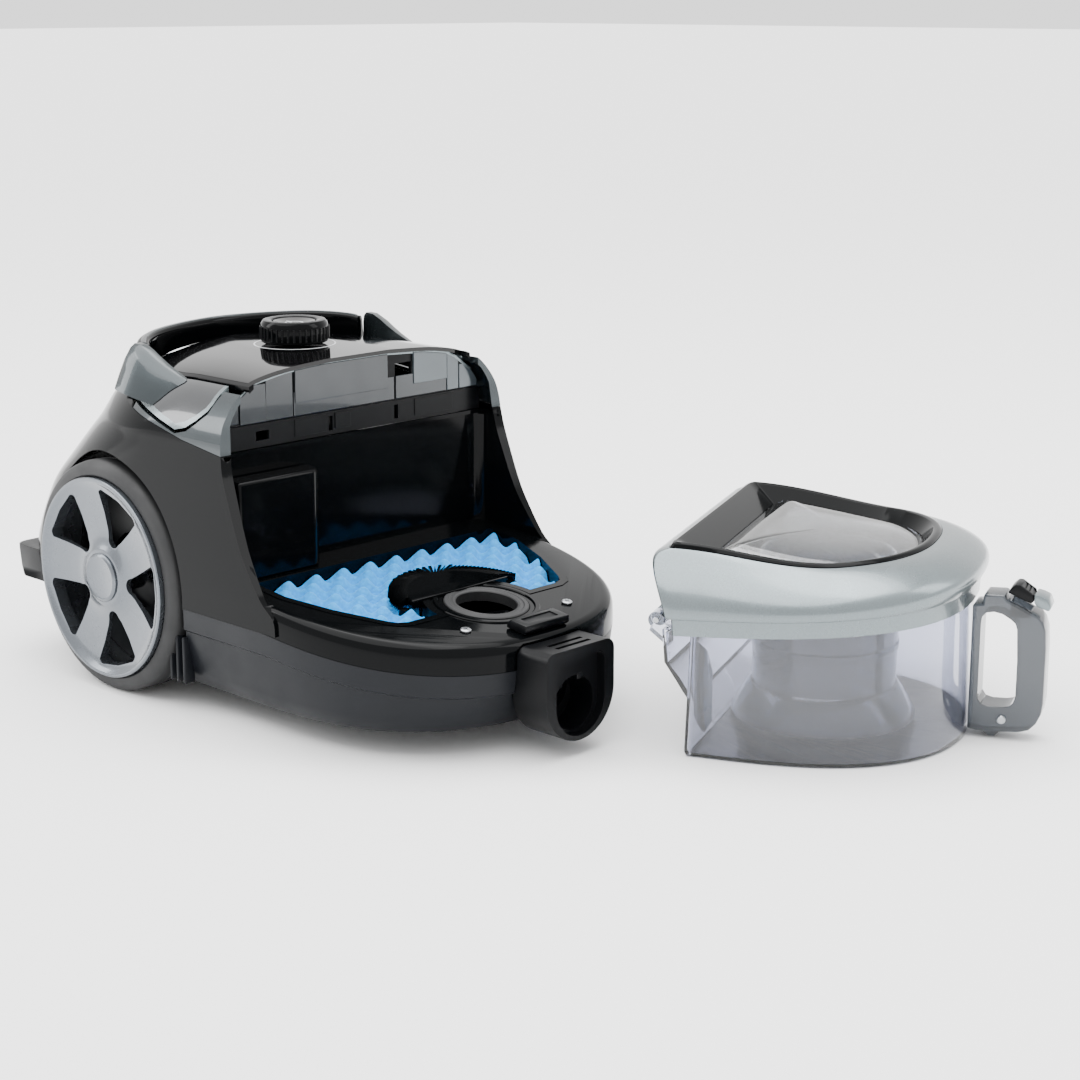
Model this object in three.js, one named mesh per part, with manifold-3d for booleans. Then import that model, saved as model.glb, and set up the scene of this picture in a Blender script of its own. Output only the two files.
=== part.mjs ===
// Canister vacuum cleaner with its dust bin lifted out and standing beside it.
// Millimetres, +Z up. The machine is drawn with its wheel axle above the origin and its hose
// socket towards +X; the finished group is then moved so that its origin is the middle of the
// bottom of its box.

import * as THREE from 'three';
import { mergeVertices } from 'three/addons/utils/BufferGeometryUtils.js';
import Module from 'manifold-3d';

const wasm = await Module();
wasm.setup();

// ---------------------------------------------------------------- driving dimensions

const GAP = 0.4; // clearance between neighbouring pieces
const WALL = 3; // moulded wall of the machine

const TYRE_RADIUS = 90.4;
const RIM_RADIUS = 78;
const WHEEL_INNER = 112; // |y| of the wheel's inner face
const WHEEL_OUTER = 150; // |y| of the rim's lip
const WELL_RADIUS = 97;
const WELL_INNER = 107; // |y| of the wheel well's wall
const AXLE = { x: 0, z: TYRE_RADIUS };

const SEAM_HEIGHT = 84; // joint between the grey floor pan and the black shell
const FLOOR_HEIGHT = 20; // underside of the floor pan
const DECK_HOLE = { x: 271.8, z: 93.8, radius: 22.6 };
const DECK_SLOPE = 0.131; // fall of the deck per millimetre towards the nose
const DECK_BEND = 190; // x where the seam starts to fall with the deck
const DECK_ANGLE = Math.atan(DECK_SLOPE);
const NOSE = { start: 150, length: 183, width: 135, p: 3, q: 2.2 };

const POCKET_BACK = 129;
const POCKET_HALF = 131;
const STRIP_FRONT = 132.5;
const COVER_FRONT = 135.5;
const COVER_HALF = 105.5;
const COVER_BACK = -12;
const BAND_HEIGHT = 221; // top of the dark lock strip
const POCKET_TOP = 199.5;

const KNOB = { x: 60.4, radius: 26.2, base: 262.8, top: 281 };
const CASTOR = { x: 225, radius: 15, trail: 13, recess: 36 };
const MOTOR = { x0: -62, x1: 100, z: 92, radius: 50 };
const REEL = { x: -28, radius: 56, z0: 166, z1: 198 };
const SOCKET = { x0: 333, x1: 366.5, half: 34.5, top: 81, bottom: 12, bore: 20, boreZ: 38 };

const BIN = { length: 181, width: 126, start: 20, p: 2.6, q: 2.4, wall: 2.2, draft: 3 };
const BIN_PLACE = { x: 367.8, y: 163.8, turn: THREE.MathUtils.degToRad(24) };
const RIM = { height: 91, slope: 0.06 }; // plane of the lid's lower edge
const CYCLONE = { x: 72, radius: 53.5, skirt: 68.5, top: 126, bottom: 30 };
const HINGE = { x: -27, z: 92, radius: 6 };

// Machine body from the seam up:
// [height, half width, rear x, x of the widest point, power of the rear curve, front x]
const BODY = [
  [SEAM_HEIGHT, 143, -147, 0, 4, 205],
  [96, 143, -148, 0, 4, 203],
  [108, 143, -148, 5, 3.8, 189],
  [134, 142.5, -145, 12, 3.2, 171],
  [150, 142, -141, 20, 2.9, 163],
  [168, 141.5, -132, 32, 2.5, 156],
  [189, 141, -117, 45, 2.2, 148.5],
  [204, 140, -105, 55, 2.05, 145.5],
  [214, 139, -97, 60, 2, 144.5],
  [225, 136, -90, 72, 2, 143.5],
  [235, 129.5, -82, 84, 2, 143],
  [244, 121, -66, 90, 2, 142.5],
  [250, 111.5, -48, 90, 2, 142],
  [255, 97, -33, 86, 2, 141],
  [259, 72, -22, 80, 2, 139],
  [261.6, 32, -10, 70, 2, 137],
];

// Floor pan: [height, or height below the seam when negative, plan offset, rear x]
const PAN = [
  [FLOOR_HEIGHT, -13, -128],
  [22.5, -9, -133],
  [34, -3, -138],
  [-19, 3, -143],
  [-17, 5.5, -145],
  [-GAP, 7.5, -147],
];

// Bin lid above its lower edge: [height, half width, rear x, nose x]
const LID = [
  [0, 134, -8, 181.5],
  [12, 134, -9, 182],
  [12.6, 138, -12, 183.5],
  [20, 137, -15, 187],
  [28, 132.5, -19, 187.3],
  [36, 124.5, -24, 184.5],
  [43, 114, -28, 178.5],
  [48, 101, -31, 169],
  [52, 84, -31, 156],
  [55, 62, -28, 140],
  [57, 34, -20, 118],
];
const LID_SPLIT = 44.5; // height of the joint between silver frame and black ring

// ---------------------------------------------------------------- materials

const finish = (color, roughness, metalness = 0, opacity = 1) =>
  new THREE.MeshStandardMaterial({
    color, roughness, metalness, opacity, transparent: opacity < 1,
  });
const GLOSS_BLACK = [0x0c0d10, 0.12];
const SATIN_BLACK = [0x1a1b1e, 0.45];
const PAN_GREY = [0x4d5056, 0.5];
const SILVER = [0xa9adb1, 0.3, 0.7];
const SMOKE = [0x55585c, 0.1, 0, 0.6];
const CLEAR = [0xdfe3ea, 0.05, 0, 0.3];
const RUBBER = [0x1d1e20, 0.8];
const STEEL = [0xb4b7ba, 0.3, 1];
const FOAM_BLUE = [0x4bb4e2, 0.95];
const COPPER = [0xb06b3a, 0.4, 1];
const BOARD_GREEN = [0x1d6b3c, 0.6];
const PAPER = [0xe9e7e0, 0.9];

// ---------------------------------------------------------------- solids

/** Volume inside a closed triangle list, negative when its faces point in. */
function signedVolume(position, index) {
  const a = new THREE.Vector3();
  const b = new THREE.Vector3();
  const c = new THREE.Vector3();
  let volume = 0;
  for (let i = 0; i < index.count; i += 3) {
    a.fromBufferAttribute(position, index.getX(i));
    b.fromBufferAttribute(position, index.getX(i + 1));
    c.fromBufferAttribute(position, index.getX(i + 2));
    volume += a.dot(b.cross(c)) / 6;
  }
  return volume;
}

/** The same shape with shared corners and its faces pointing out. */
function welded(geometry) {
  const bare = geometry.index ? geometry.toNonIndexed() : geometry.clone();
  bare.deleteAttribute('normal');
  bare.deleteAttribute('uv');
  const shape = mergeVertices(bare, 1e-4);
  if (signedVolume(shape.attributes.position, shape.index) < 0) {
    const index = shape.index;
    for (let i = 0; i < index.count; i += 3) {
      const first = index.getX(i);
      index.setX(i, index.getX(i + 1));
      index.setX(i + 1, first);
    }
  }
  return shape;
}

/** A closed geometry as a solid that can be joined and cut. */
function solid(geometry) {
  const shape = welded(geometry);
  return new wasm.Manifold(new wasm.Mesh({
    numProp: 3,
    vertProperties: new Float32Array(shape.attributes.position.array),
    triVerts: new Uint32Array(shape.index.array),
  }));
}

/** A solid's surface as a geometry. */
function surface(body) {
  const skin = body.getMesh();
  const geometry = new THREE.BufferGeometry();
  geometry.setAttribute('position', new THREE.BufferAttribute(skin.vertProperties, 3));
  geometry.setIndex(new THREE.BufferAttribute(skin.triVerts, 1));
  return geometry;
}

const cut = (base, ...tools) =>
  surface(tools.reduce((body, tool) => body.subtract(solid(tool)), solid(base)));
const join = (base, ...parts) =>
  surface(parts.reduce((body, part) => body.add(solid(part)), solid(base)));
const common = (base, ...parts) =>
  surface(parts.reduce((body, part) => body.intersect(solid(part)), solid(base)));

/** Block between two opposite corners. */
function block(x0, x1, y0, y1, z0, z1) {
  const box = new THREE.BoxGeometry(x1 - x0, y1 - y0, z1 - z0);
  return box.translate((x0 + x1) / 2, (y0 + y1) / 2, (z0 + z1) / 2);
}

/** Cylinder along an axis, from one end to the other, through a point of the other two axes. */
function rod(axis, radius, from, to, at, segments = 24) {
  const cylinder = new THREE.CylinderGeometry(radius, radius, to - from, segments);
  const middle = (from + to) / 2;
  if (axis === 'x') return cylinder.rotateZ(Math.PI / 2).translate(middle, at[0], at[1]);
  if (axis === 'y') return cylinder.translate(at[0], middle, at[1]);
  return cylinder.rotateX(Math.PI / 2).translate(at[0], at[1], middle);
}

const outline = (points) => new THREE.Shape(points.map(([x, y]) => new THREE.Vector2(x, y)));

/** Outline in x and y, raised from z0 to z1. */
function prismZ(points, z0, z1) {
  const options = { depth: z1 - z0, bevelEnabled: false };
  return new THREE.ExtrudeGeometry(outline(points), options).translate(0, 0, z0);
}

/** Outline in x and z, drawn out from y0 to y1. */
function prismY(points, y0, y1) {
  const options = { depth: y1 - y0, bevelEnabled: false };
  const prism = new THREE.ExtrudeGeometry(outline(points), options);
  return prism.rotateX(Math.PI / 2).translate(0, y1, 0);
}

/** Outline in y and z, drawn out from x0 to x1. */
function prismX(points, x0, x1) {
  const options = { depth: x1 - x0, bevelEnabled: false };
  const prism = new THREE.ExtrudeGeometry(outline(points), options);
  return prism.rotateX(Math.PI / 2).rotateZ(Math.PI / 2).translate(x0, 0, 0);
}

/** Closed [radius, height] profile turned about the Z axis. */
function turned(profile, segments = 32) {
  const points = profile.map(([radius, height]) => new THREE.Vector2(radius, height));
  return new THREE.LatheGeometry(points, segments).rotateX(Math.PI / 2);
}

/** Outline drawn up in steps, each corner then set by place(x, y, step). */
function loft(points, steps, place) {
  const options = { depth: steps, steps, bevelEnabled: false };
  const geometry = new THREE.ExtrudeGeometry(outline(points), options);
  const position = geometry.attributes.position;
  for (let i = 0; i < position.count; i += 1) {
    const step = Math.round(position.getZ(i));
    const [x, y, z] = place(position.getX(i), position.getY(i), step);
    position.setXYZ(i, x, y, z);
  }
  return geometry;
}

/** Arc points round a centre, degrees, both ends included. */
function arc(x, y, radius, from, to, count) {
  return Array.from({ length: count + 1 }, (_, i) => {
    const angle = THREE.MathUtils.degToRad(from + ((to - from) * i) / count);
    return [x + radius * Math.cos(angle), y + radius * Math.sin(angle)];
  });
}

const power = (value, exponent) => Math.sign(value) * Math.abs(value) ** exponent;

// ---------------------------------------------------------------- machine outlines

const deckHeight = (x) => DECK_HOLE.z - DECK_SLOPE * (x - DECK_HOLE.x);
const seamHeight = (x) => SEAM_HEIGHT - DECK_SLOPE * Math.max(0, x - DECK_BEND);

const ROUND_STEPS = 12; // steps in half of a round outline
// Unit outlines: a D whose round side is at the back, a D whose round side is at the front,
// and a strip that is round at both ends.
const REAR_D = [...arc(0, 0, 1, 90, 270, ROUND_STEPS), [1, -1], [1, 1]];
const NOSE_D = [...arc(0, 0, 1, -90, 90, ROUND_STEPS), [-1, 1], [-1, -1]];
const CAPSULE = [...arc(1, 0, 1, -90, 90, ROUND_STEPS), ...arc(-1, 0, 1, 90, 270, ROUND_STEPS)];

/** Point of the nose curve, for a point of the unit circle, grown by an offset. */
function nosePoint(across, along, offset, nose = NOSE) {
  return [
    nose.start + (nose.length + offset) * power(along, 2 / nose.p),
    (nose.width + offset) * power(across, 2 / nose.q),
  ];
}

/** Black shell behind the deck as one solid, grown or shrunk all round. */
function bodySolid(inset = 0, lift = 0) {
  return loft(REAR_D, BODY.length - 1, (x, y, step) => {
    const [height, half, rear, widest, curve, front] = BODY[step];
    const top = Math.max(0, (height - 204) / 57.6);
    const z = height - inset * top + (step === 0 ? lift : 0);
    const wide = half - inset;
    if (x > 0) return [widest + (front - widest) * x, y * wide, z];
    const depth = widest - rear - inset;
    return [widest + depth * power(x, 2 / curve), wide * power(y, 2 / curve), z];
  });
}

/** Nose of the black shell, from the seam up to the sloping deck. */
function deckSolid(inset = 0) {
  const edge = [[0, 7.5], [0.62, 7.5], [0.84, 6], [0.95, 3.2], [1, 0]];
  return loft(NOSE_D, edge.length - 1, (x, y, step) => {
    const [share, offset] = edge[step];
    const [px, py] = x < 0
      ? [NOSE.start + 70 * x, y * (NOSE.width + offset - inset)]
      : nosePoint(y, x, offset - inset);
    const low = seamHeight(px);
    return [px, py, low + (deckHeight(px) - inset - low) * share];
  });
}

/** Floor pan as one solid. */
function panSolid(inset = 0) {
  return loft(CAPSULE, PAN.length - 1, (x, y, step) => {
    const [height, offset, rear] = PAN[step];
    const grow = offset - inset;
    const wide = NOSE.width + grow;
    let place = [NOSE.start * (x + 1) / 2, y * wide];
    if (x > 1) place = nosePoint(y, x - 1, grow);
    if (x < -1) place = [(-rear - inset) * power(x + 1, 0.5), wide * power(y, 0.5)];
    const floor = step === 0 ? inset : 0;
    const z = height > 0 ? height + floor : seamHeight(place[0]) + height;
    return [...place, z + (step === PAN.length - 1 && inset > 0 ? WALL : 0)];
  });
}

/** Both wheel wells, grown all round. */
function wellSolids(grow = 0) {
  return [-1, 1].map((side) => {
    const inner = side * (WELL_INNER - grow);
    const ends = [inner, side * 160].sort((a, b) => a - b);
    return rod('y', WELL_RADIUS + grow, ends[0], ends[1], [AXLE.x, AXLE.z], 30);
  });
}

/** Space that the bin stands in, above the deck and between the arms, grown all round. */
function pocketSolid(grow = 0) {
  const corner = 14;
  const back = POCKET_BACK - grow;
  const half = POCKET_HALF + grow;
  const plan = [
    ...arc(back + corner, -half + corner, corner, 270, 180, 5),
    ...arc(back + corner, half - corner, corner, 180, 90, 5),
    [230, half + 14], [400, half + 14], [400, -half - 14], [230, -half - 14],
  ];
  return loft(plan, 1, (x, y, step) => [x, y, step ? POCKET_TOP + grow : deckHeight(x) - grow]);
}

/** Room above the pocket, in front of the strips and under the bin's lid. */
function mouthSolid() {
  const arch = [
    [-131, POCKET_TOP - 1], [131, POCKET_TOP - 1], [129, 225], [126, 231], [121, 238],
    [COVER_HALF, 249], [-COVER_HALF, 249], [-121, 238], [-126, 231], [-129, 225],
  ];
  const above = block(COVER_FRONT, 300, -COVER_HALF, COVER_HALF, 240, 300);
  return join(prismX(arch, STRIP_FRONT + GAP, 300), above);
}

/** Plan of the gloss cover: straight at the front, drawn in towards the back. */
const coverPlan = (inset) => [
  [COVER_FRONT - inset, -COVER_HALF + inset], [COVER_FRONT - inset, COVER_HALF - inset],
  [60, COVER_HALF - inset], [30, COVER_HALF - 8 - inset], [8, COVER_HALF - 24 - inset],
  [COVER_BACK + inset, COVER_HALF - 52 - inset],
  [COVER_BACK + inset, -COVER_HALF + 52 + inset], [8, -COVER_HALF + 24 + inset],
  [30, -COVER_HALF + 8 + inset], [60, -COVER_HALF + inset],
];

/** Region of the body given to the cover, silver frame and pedals. */
function topRegion(grow = 0) {
  const side = [
    [170, 204.6 - grow], [148, 204.6 - grow], [99, 211 - grow], [57, 219.5 - grow],
    [10 - grow, 228.5 - grow], [-1 - grow, 236], [-3 - grow, 246], [-3 - grow, 300], [170, 300],
  ];
  const between = COVER_HALF + 4.6 - grow;
  const shoulders = cut(prismY(side, -170, 170), block(-60, 200, -between, between, 150, 310));
  return join(shoulders, prismZ(coverPlan(-grow), 236, 300));
}

/** Recess for the fingers under the bow, grown all round. */
function fingerRecess(grow = 0) {
  const [back, front, half, corner] = [-60 - grow, -18 + grow, 70 + grow, 12 + grow];
  return prismZ([
    ...arc(front - corner, -half + corner, corner, 270, 360, 3),
    ...arc(front - corner, half - corner, corner, 0, 90, 3),
    ...arc(back + corner, half - corner, corner, 90, 180, 3),
    ...arc(back + corner, -half + corner, corner, 180, 270, 3),
  ], 226 - grow, 300);
}

/** Moves a shape drawn flat, with its origin at the deck hole, onto the sloping deck. */
function onDeck(geometry) {
  return geometry.rotateY(DECK_ANGLE).translate(DECK_HOLE.x, 0, DECK_HOLE.z);
}

/** Anticlockwise outline with every edge moved out by an offset. */
function grown(points, offset) {
  return points.map(([x, y], i) => {
    const [ax, ay] = points[(i + points.length - 1) % points.length];
    const [bx, by] = points[(i + 1) % points.length];
    const before = new THREE.Vector2(y - ay, ax - x).normalize();
    const after = new THREE.Vector2(by - y, x - bx).normalize();
    const reach = offset / (1 + before.dot(after));
    return [x + (before.x + after.x) * reach, y + (before.y + after.y) * reach];
  });
}

const COLLAR_RADIUS = 41; // bite that the cassette leaves round the deck hole
const CASSETTE = [
  [-111, -125], [-85, -124], [-46, -111], [-8, -92], [0, -86], [4, -76],
  [4, 76], [0, 86], [-8, 92], [-46, 111], [-85, 124], [-111, 125],
  ...arc(-114, 115, 10, 100, 170, 3), ...arc(-114, -115, 10, 190, 260, 3),
];

/** Filter cassette as one solid in the deck's own plane, grown all round by an offset. */
function cassetteSolid(offset, z0, z1) {
  const collar = rod('z', COLLAR_RADIUS - offset, -90, 90, [0, 0], 40);
  return cut(prismZ(grown(CASSETTE, offset), z0, z1), collar);
}

// ---------------------------------------------------------------- machine shells

const bodyShell = () => cut(bodySolid(), bodySolid(WALL, -1));

function upperHousing() {
  const outside = cut(
    join(bodySolid(), deckSolid()),
    pocketSolid(), mouthSolid(), topRegion(GAP), fingerRecess(), ...wellSolids(),
  );
  const inside = cut(
    join(bodySolid(WALL, -1), deckSolid(WALL), block(60, 190, -120, 120, SEAM_HEIGHT - 2, 100)),
    pocketSolid(WALL), fingerRecess(WALL), ...wellSolids(WALL),
  );
  const shell = cut(outside, inside);
  const bosses = [-1, 1].map((side) => {
    const [from, to] = [side * 90, side * (WELL_INNER - 1)].sort((a, b) => a - b);
    return rod('y', 12, from, to, [AXLE.x, AXLE.z + 0.01]);
  });
  const bores = rod('y', 6.3, -130, 130, [AXLE.x, AXLE.z + 0.05]);
  return cut(
    join(shell, ...bosses), bores,
    onDeck(cassetteSolid(GAP, -60, 20)),
    onDeck(rod('z', 32, -30, 30, [0, 0], 40)),
    onDeck(rod('z', 2.2, -12, 30, [32, 51.5], 12)),
    onDeck(rod('z', 2.2, -12, 30, [32, -51.5], 12)),
    onDeck(block(43, 58, -15, 15, -20, 20)),
    socketOutline(GAP),
    block(-170, -120, -50, 50, 98, 152),
    rod('x', 7, -170, -120, [80, 112], 20),
  );
}

function lowerHousing() {
  const recess = (grow) => rod('z', CASTOR.recess + grow, -20, 42 + grow, [CASTOR.x, 0], 28);
  const outside = cut(panSolid(), ...wellSolids(), recess(0));
  const inside = cut(panSolid(WALL), ...wellSolids(WALL), recess(WALL));
  const boss = rod('z', 12, 42, 60, [CASTOR.x, 0]);
  const bore = rod('z', 7.4, 30, 70, [CASTOR.x, 0]);
  const cradle = [-40, 70].map((x) =>
    cut(block(x, x + 6, -44, 44, FLOOR_HEIGHT + 1, 70),
      rod('x', MOTOR.radius + 4.8, x - 5, x + 12, [0, MOTOR.z], 32)));
  return cut(
    join(cut(outside, inside), boss, ...cradle), bore, socketOutline(GAP),
    rod('y', 12 + GAP, -130, 130, [AXLE.x, AXLE.z], 24),
    rod('x', 20, 300, 340, [0, 43], 24),
  );
}

/** Outside of the hose socket: square shoulders above, round below. */
function socketOutline(grow = 0) {
  const { half, top, bottom } = SOCKET;
  const wide = half + grow;
  const low = bottom + half;
  const shape = [
    ...arc(0, low, wide, 180, 360, 16),
    ...arc(wide - 8, top + grow - 8, 8, 0, 90, 4),
    ...arc(-wide + 8, top + grow - 8, 8, 90, 180, 4),
  ];
  return prismX(shape, SOCKET.x0 - grow, SOCKET.x1 + 20 * Math.min(1, grow));
}

function hoseSocket() {
  const mouth = [
    ...arc(0, 40, 24.5, 180, 360, 14),
    ...arc(17.5, 66.5, 7, 0, 90, 3),
    ...arc(-17.5, 66.5, 7, 90, 180, 3),
  ];
  const slots = [0, 1].map((i) => block(349 + 8 * i, 352.5 + 8 * i, -17, 17, 77, 90));
  return cut(
    socketOutline(), prismX(mouth, SOCKET.x1 - 7, SOCKET.x1 + 5),
    rod('x', SOCKET.bore, SOCKET.x0 + 4, SOCKET.x1 + 5, [0, SOCKET.boreZ], 32),
    rod('x', 16.5, SOCKET.x0 - 5, SOCKET.x0 + 10, [0, 43], 28),
    ...slots,
  );
}

/** Elbow that leads the dusty air from the socket up to the deck hole. */
function inletDuct() {
  const curve = new THREE.CatmullRomCurve3([
    new THREE.Vector3(SOCKET.x0 - 1, 0, 43), new THREE.Vector3(312, 0, 43),
    new THREE.Vector3(285, 0, 52), new THREE.Vector3(272.5, 0, 72),
    new THREE.Vector3(269.5, 0, 84),
  ]);
  const section = outline(arc(0, 0, 18.5, 0, 330, 11));
  section.holes.push(outline(arc(0, 0, 16, 0, 330, 11)));
  return new THREE.ExtrudeGeometry(section, {
    steps: 8, extrudePath: curve, bevelEnabled: false,
  });
}

// ---------------------------------------------------------------- deck fittings

function inletGasket() {
  const ring = [[DECK_HOLE.radius, -7], [31.4, -7], [31.4, 0.6], [27, 1.4], [DECK_HOLE.radius, 0.4]];
  return onDeck(turned([...ring, ring[0]], 32));
}

const BAR_POSTS = [104, 142, 180, 218, 256]; // degrees round the curved bar

function filterFrame() {
  const tray = cut(
    cassetteSolid(0, -26, 0.4), cassetteSolid(-6, -23, 10),
  );
  const floorSlots = [];
  for (let y = -96; y < 96; y += 48) floorSlots.push(block(-104, -48, y + 4, y + 44, -30, -20));
  const bar = [...arc(-15, 0, 62, 104, 256, 16), ...arc(-15, 0, 50, 256, 104, 16)];
  const posts = BAR_POSTS.map((angle) => {
    const [[x, y]] = arc(-15, 0, 56, angle, angle, 1);
    return rod('z', 4, -24, -3, [x, y], 8);
  });
  return onDeck(join(cut(tray, ...floorSlots), prismZ(bar, -4, 1.6), ...posts));
}

function foamFilter() {
  const bar = rod('z', 7, -30, 10, [0, 0], 8);
  const holes = BAR_POSTS.map((angle) => {
    const [[x, y]] = arc(-15, 0, 56, angle, angle, 1);
    return bar.clone().translate(x, y, 0);
  });
  return onDeck(cut(cassetteSolid(-7.5, -22.6, -6), ...holes));
}

function deckCatch() {
  const tab = prismY([[43, 0.6], [61, 0.6], [63, 3], [62, 7.5], [46, 7.5], [43, 4]], -22, 22);
  return onDeck(join(tab, block(47.5, 53.5, -13, 13, -9, 2)));
}

const deckScrew = (side) => onDeck(join(
  rod('z', 4, 0.5, 2, [32, side * 51.5], 16), rod('z', 1.8, -9, 1, [32, side * 51.5], 12),
));

// ---------------------------------------------------------------- top of the machine

const PEDAL_SIDE = [
  [120, 233], [102, 220], [90, 217], [57, 225.5], [12, 234], [3, 244], [1, 262], [1, 276],
  [122, 276], [122, 246],
];

function silverFrame() {
  const shell = cut(common(bodyShell(), topRegion()), mouthSolid());
  const around = prismY([
    [124.4, 300], [124.2, 245], [122, 231.4], [103, 217.4], [90, 214.2], [56.6, 222.8],
    [10.6, 231.4], [-2, 240], [-20, 300],
  ], -170, 170);
  const legs = cut(
    shell, around, block(-60, COVER_FRONT + 20, -118, 118, 240, 300),
    block(-60, 30, -200, 200, 200, 300),
  );
  const stripArch = [
    [-128, BAND_HEIGHT], [-127.5, 226], [-119, 236], [-108, 243.6], [-102, 248], [-95, 251.2],
    [-68, 255.5], [-32, 257.6], [32, 257.6], [68, 255.5], [95, 251.2], [102, 248],
    [108, 243.6], [119, 236], [127.5, 226], [128, BAND_HEIGHT],
  ];
  const strip = prismX(stripArch, POCKET_BACK - 1, STRIP_FRONT);
  const flap = block(STRIP_FRONT - 1, STRIP_FRONT + 2, -61, 31, 232, 244);
  const lugs = [[-110, -100], [70, 78], [100, 108]].map(([y0, y1]) =>
    block(STRIP_FRONT - 1, STRIP_FRONT + 1.5, y0, y1, 224, 238));
  const notch = block(120, 140, 40, 57, 233, 249);
  const ties = [-1, 1].map((side) => {
    const [y0, y1] = [side * 126, side * 135].sort((a, b) => a - b);
    return block(POCKET_BACK - 1, STRIP_FRONT, y0, y1, BAND_HEIGHT, 225);
  });
  return cut(join(legs, strip, flap, ...lugs, ...ties), notch);
}

function lockStrip() {
  const band = prismX([
    [-130, POCKET_TOP + 3.5], [-129.5, BAND_HEIGHT - GAP], [129.5, BAND_HEIGHT - GAP],
    [130, POCKET_TOP + 3.5],
  ], POCKET_BACK - 1, STRIP_FRONT - 1.5);
  const slots = [
    block(120, 140, 39, 43, 206, 217), block(120, 140, -27, -23, 206, 217),
    block(120, 140, -96, -84, 208, 215),
  ];
  return cut(band, ...slots);
}

function topCover() {
  const panel = common(bodyShell(), prismZ(coverPlan(0), 225, 280));
  const shoulder = cut(
    prismZ(coverPlan(0), 225, 280), prismZ(coverPlan(5), 200, 290),
    block(STRIP_FRONT - 6, 200, -200, 200, 200, 300),
  );
  const skirt = common(common(shoulder, bodySolid()), block(-60, 200, -200, 200, 236.5, 300));
  return cut(join(panel, skirt), rod('z', 5.6, 200, 300, [KNOB.x, 0], 20));
}

/** Bow that the machine is carried by, round the back of the cover. */
function carryHandle() {
  const half = [[11.5, -110, 263], [-4, -96, 264.5], [-20, -72, 265.6], [-31, -38, 266]];
  const path = [
    ...half.map(([x, y, z]) => new THREE.Vector3(x, y, z)), new THREE.Vector3(-35, 0, 266),
    ...half.map(([x, y, z]) => new THREE.Vector3(x, -y, z)).reverse(),
  ];
  const section = outline([
    ...arc(2.5, 7, 3, 0, 90, 1), ...arc(-2.5, 7, 3, 90, 180, 1),
    ...arc(-2.5, -7, 3, 180, 270, 1), ...arc(2.5, -7, 3, 270, 360, 1),
  ]);
  const bow = new THREE.ExtrudeGeometry(section, {
    steps: 20, extrudePath: new THREE.CatmullRomCurve3(path), bevelEnabled: false,
  });
  const legs = [-1, 1].map((side) => {
    const [y0, y1] = [side * 97, side * 109].sort((a, b) => a - b);
    return block(-6, 13, y0, y1, 236, 264);
  });
  const trimmed = cut(join(bow, ...legs), bodySolid(-GAP));
  return surface(solid(trimmed).decompose().sort((a, b) => b.volume() - a.volume())[0]);
}

/** Smoky pedal on one shoulder, -1 right or 1 left. */
function pedal(side) {
  const [y0, y1] = [side * (COVER_HALF + 7), side * 200].sort((a, b) => a - b);
  return common(
    cut(bodySolid(), bodySolid(WALL + 2, -1)), prismY(PEDAL_SIDE, y0, y1),
  );
}

/** Silver cap at the back of a pedal. */
function pedalCap(side) {
  const [y0, y1] = [side * (COVER_HALF + 7), side * 121].sort((a, b) => a - b);
  const lug = prismY([[17, 240], [36, 240], [36, 270], [33, 274], [20, 277], [17, 276]], y0, y1);
  return cut(lug, bodySolid(-GAP));
}

function speedKnob() {
  const { radius, base, top } = KNOB;
  const profile = [
    [0, base + 0.6], [radius - 1.4, base + 0.6], [radius, base + 2], [radius, top - 3],
    [radius - 2.5, top], [17.2, top - 1.5], [17.2, base + 3.4], [0, base + 3.4],
  ];
  const body = turned(profile, 32).translate(KNOB.x, 0, 0);
  return join(body, rod('z', 5, 246, base + 2, [KNOB.x, 0], 20));
}

function powerButton() {
  const { base, top } = KNOB;
  const profile = [[0, base + 6], [16.6, base + 6], [16.6, top - 2], [12, top - 3.2], [0, top - 3.6]];
  return turned(profile, 24).translate(KNOB.x, 0, 0);
}

// ---------------------------------------------------------------- back and inside

function rearBumper() {
  const plan = [
    ...arc(-135, -113, 14, 180, 250, 4), [-110, -126], [-110, 126],
    ...arc(-135, 113, 14, 110, 180, 4),
  ];
  const bar = loft(plan, 2, (x, y, step) => [x - [0, 4, 6][step], y, [62, 70, SEAM_HEIGHT + 4][step]]);
  const ring = cut(bar, panSolid(-GAP), bodySolid(-GAP, -1), ...wellSolids(GAP));
  return surface(solid(ring).decompose().sort((a, b) => b.volume() - a.volume())[0]);
}

function exhaustGrille() {
  const panel = common(
    bodyShell(), block(-170, -120, -50 + GAP, 50 - GAP, 98 + GAP, 152 - GAP),
  );
  const slots = [];
  for (let z = 104; z < 146; z += 8) slots.push(block(-170, -100, -42, 42, z, z + 4));
  return cut(panel, ...slots);
}

function hepaFilter() {
  const pleats = [];
  for (let y = -42; y <= 42; y += 6) pleats.push([-128, y], [-121, y + 3]);
  return prismZ([...pleats, [-128, 46], [-106, 46], [-106, -46], [-128, -46]], 102, 148);
}

const cordInlet = () => cut(
  join(rod('x', 12, -152, -148.6, [80, 112]), rod('x', 6.6, -149, -138, [80, 112])),
  rod('x', 4, -160, -130, [80, 112], 20),
);

function motorHousing() {
  const { x0, x1, z, radius } = MOTOR;
  const profile = [
    [30, x0 + 8], [42, x0 + 8], [radius, x0 + 22], [radius, x1], [20, x1], [20, x1 - 3],
    [radius - 3, x1 - 3], [radius - 3, x0 + 25], [40, x0 + 12], [30, x0 + 12],
  ];
  return turned([...profile, profile[0]], 28).rotateY(Math.PI / 2).translate(0, 0, z);
}

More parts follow.
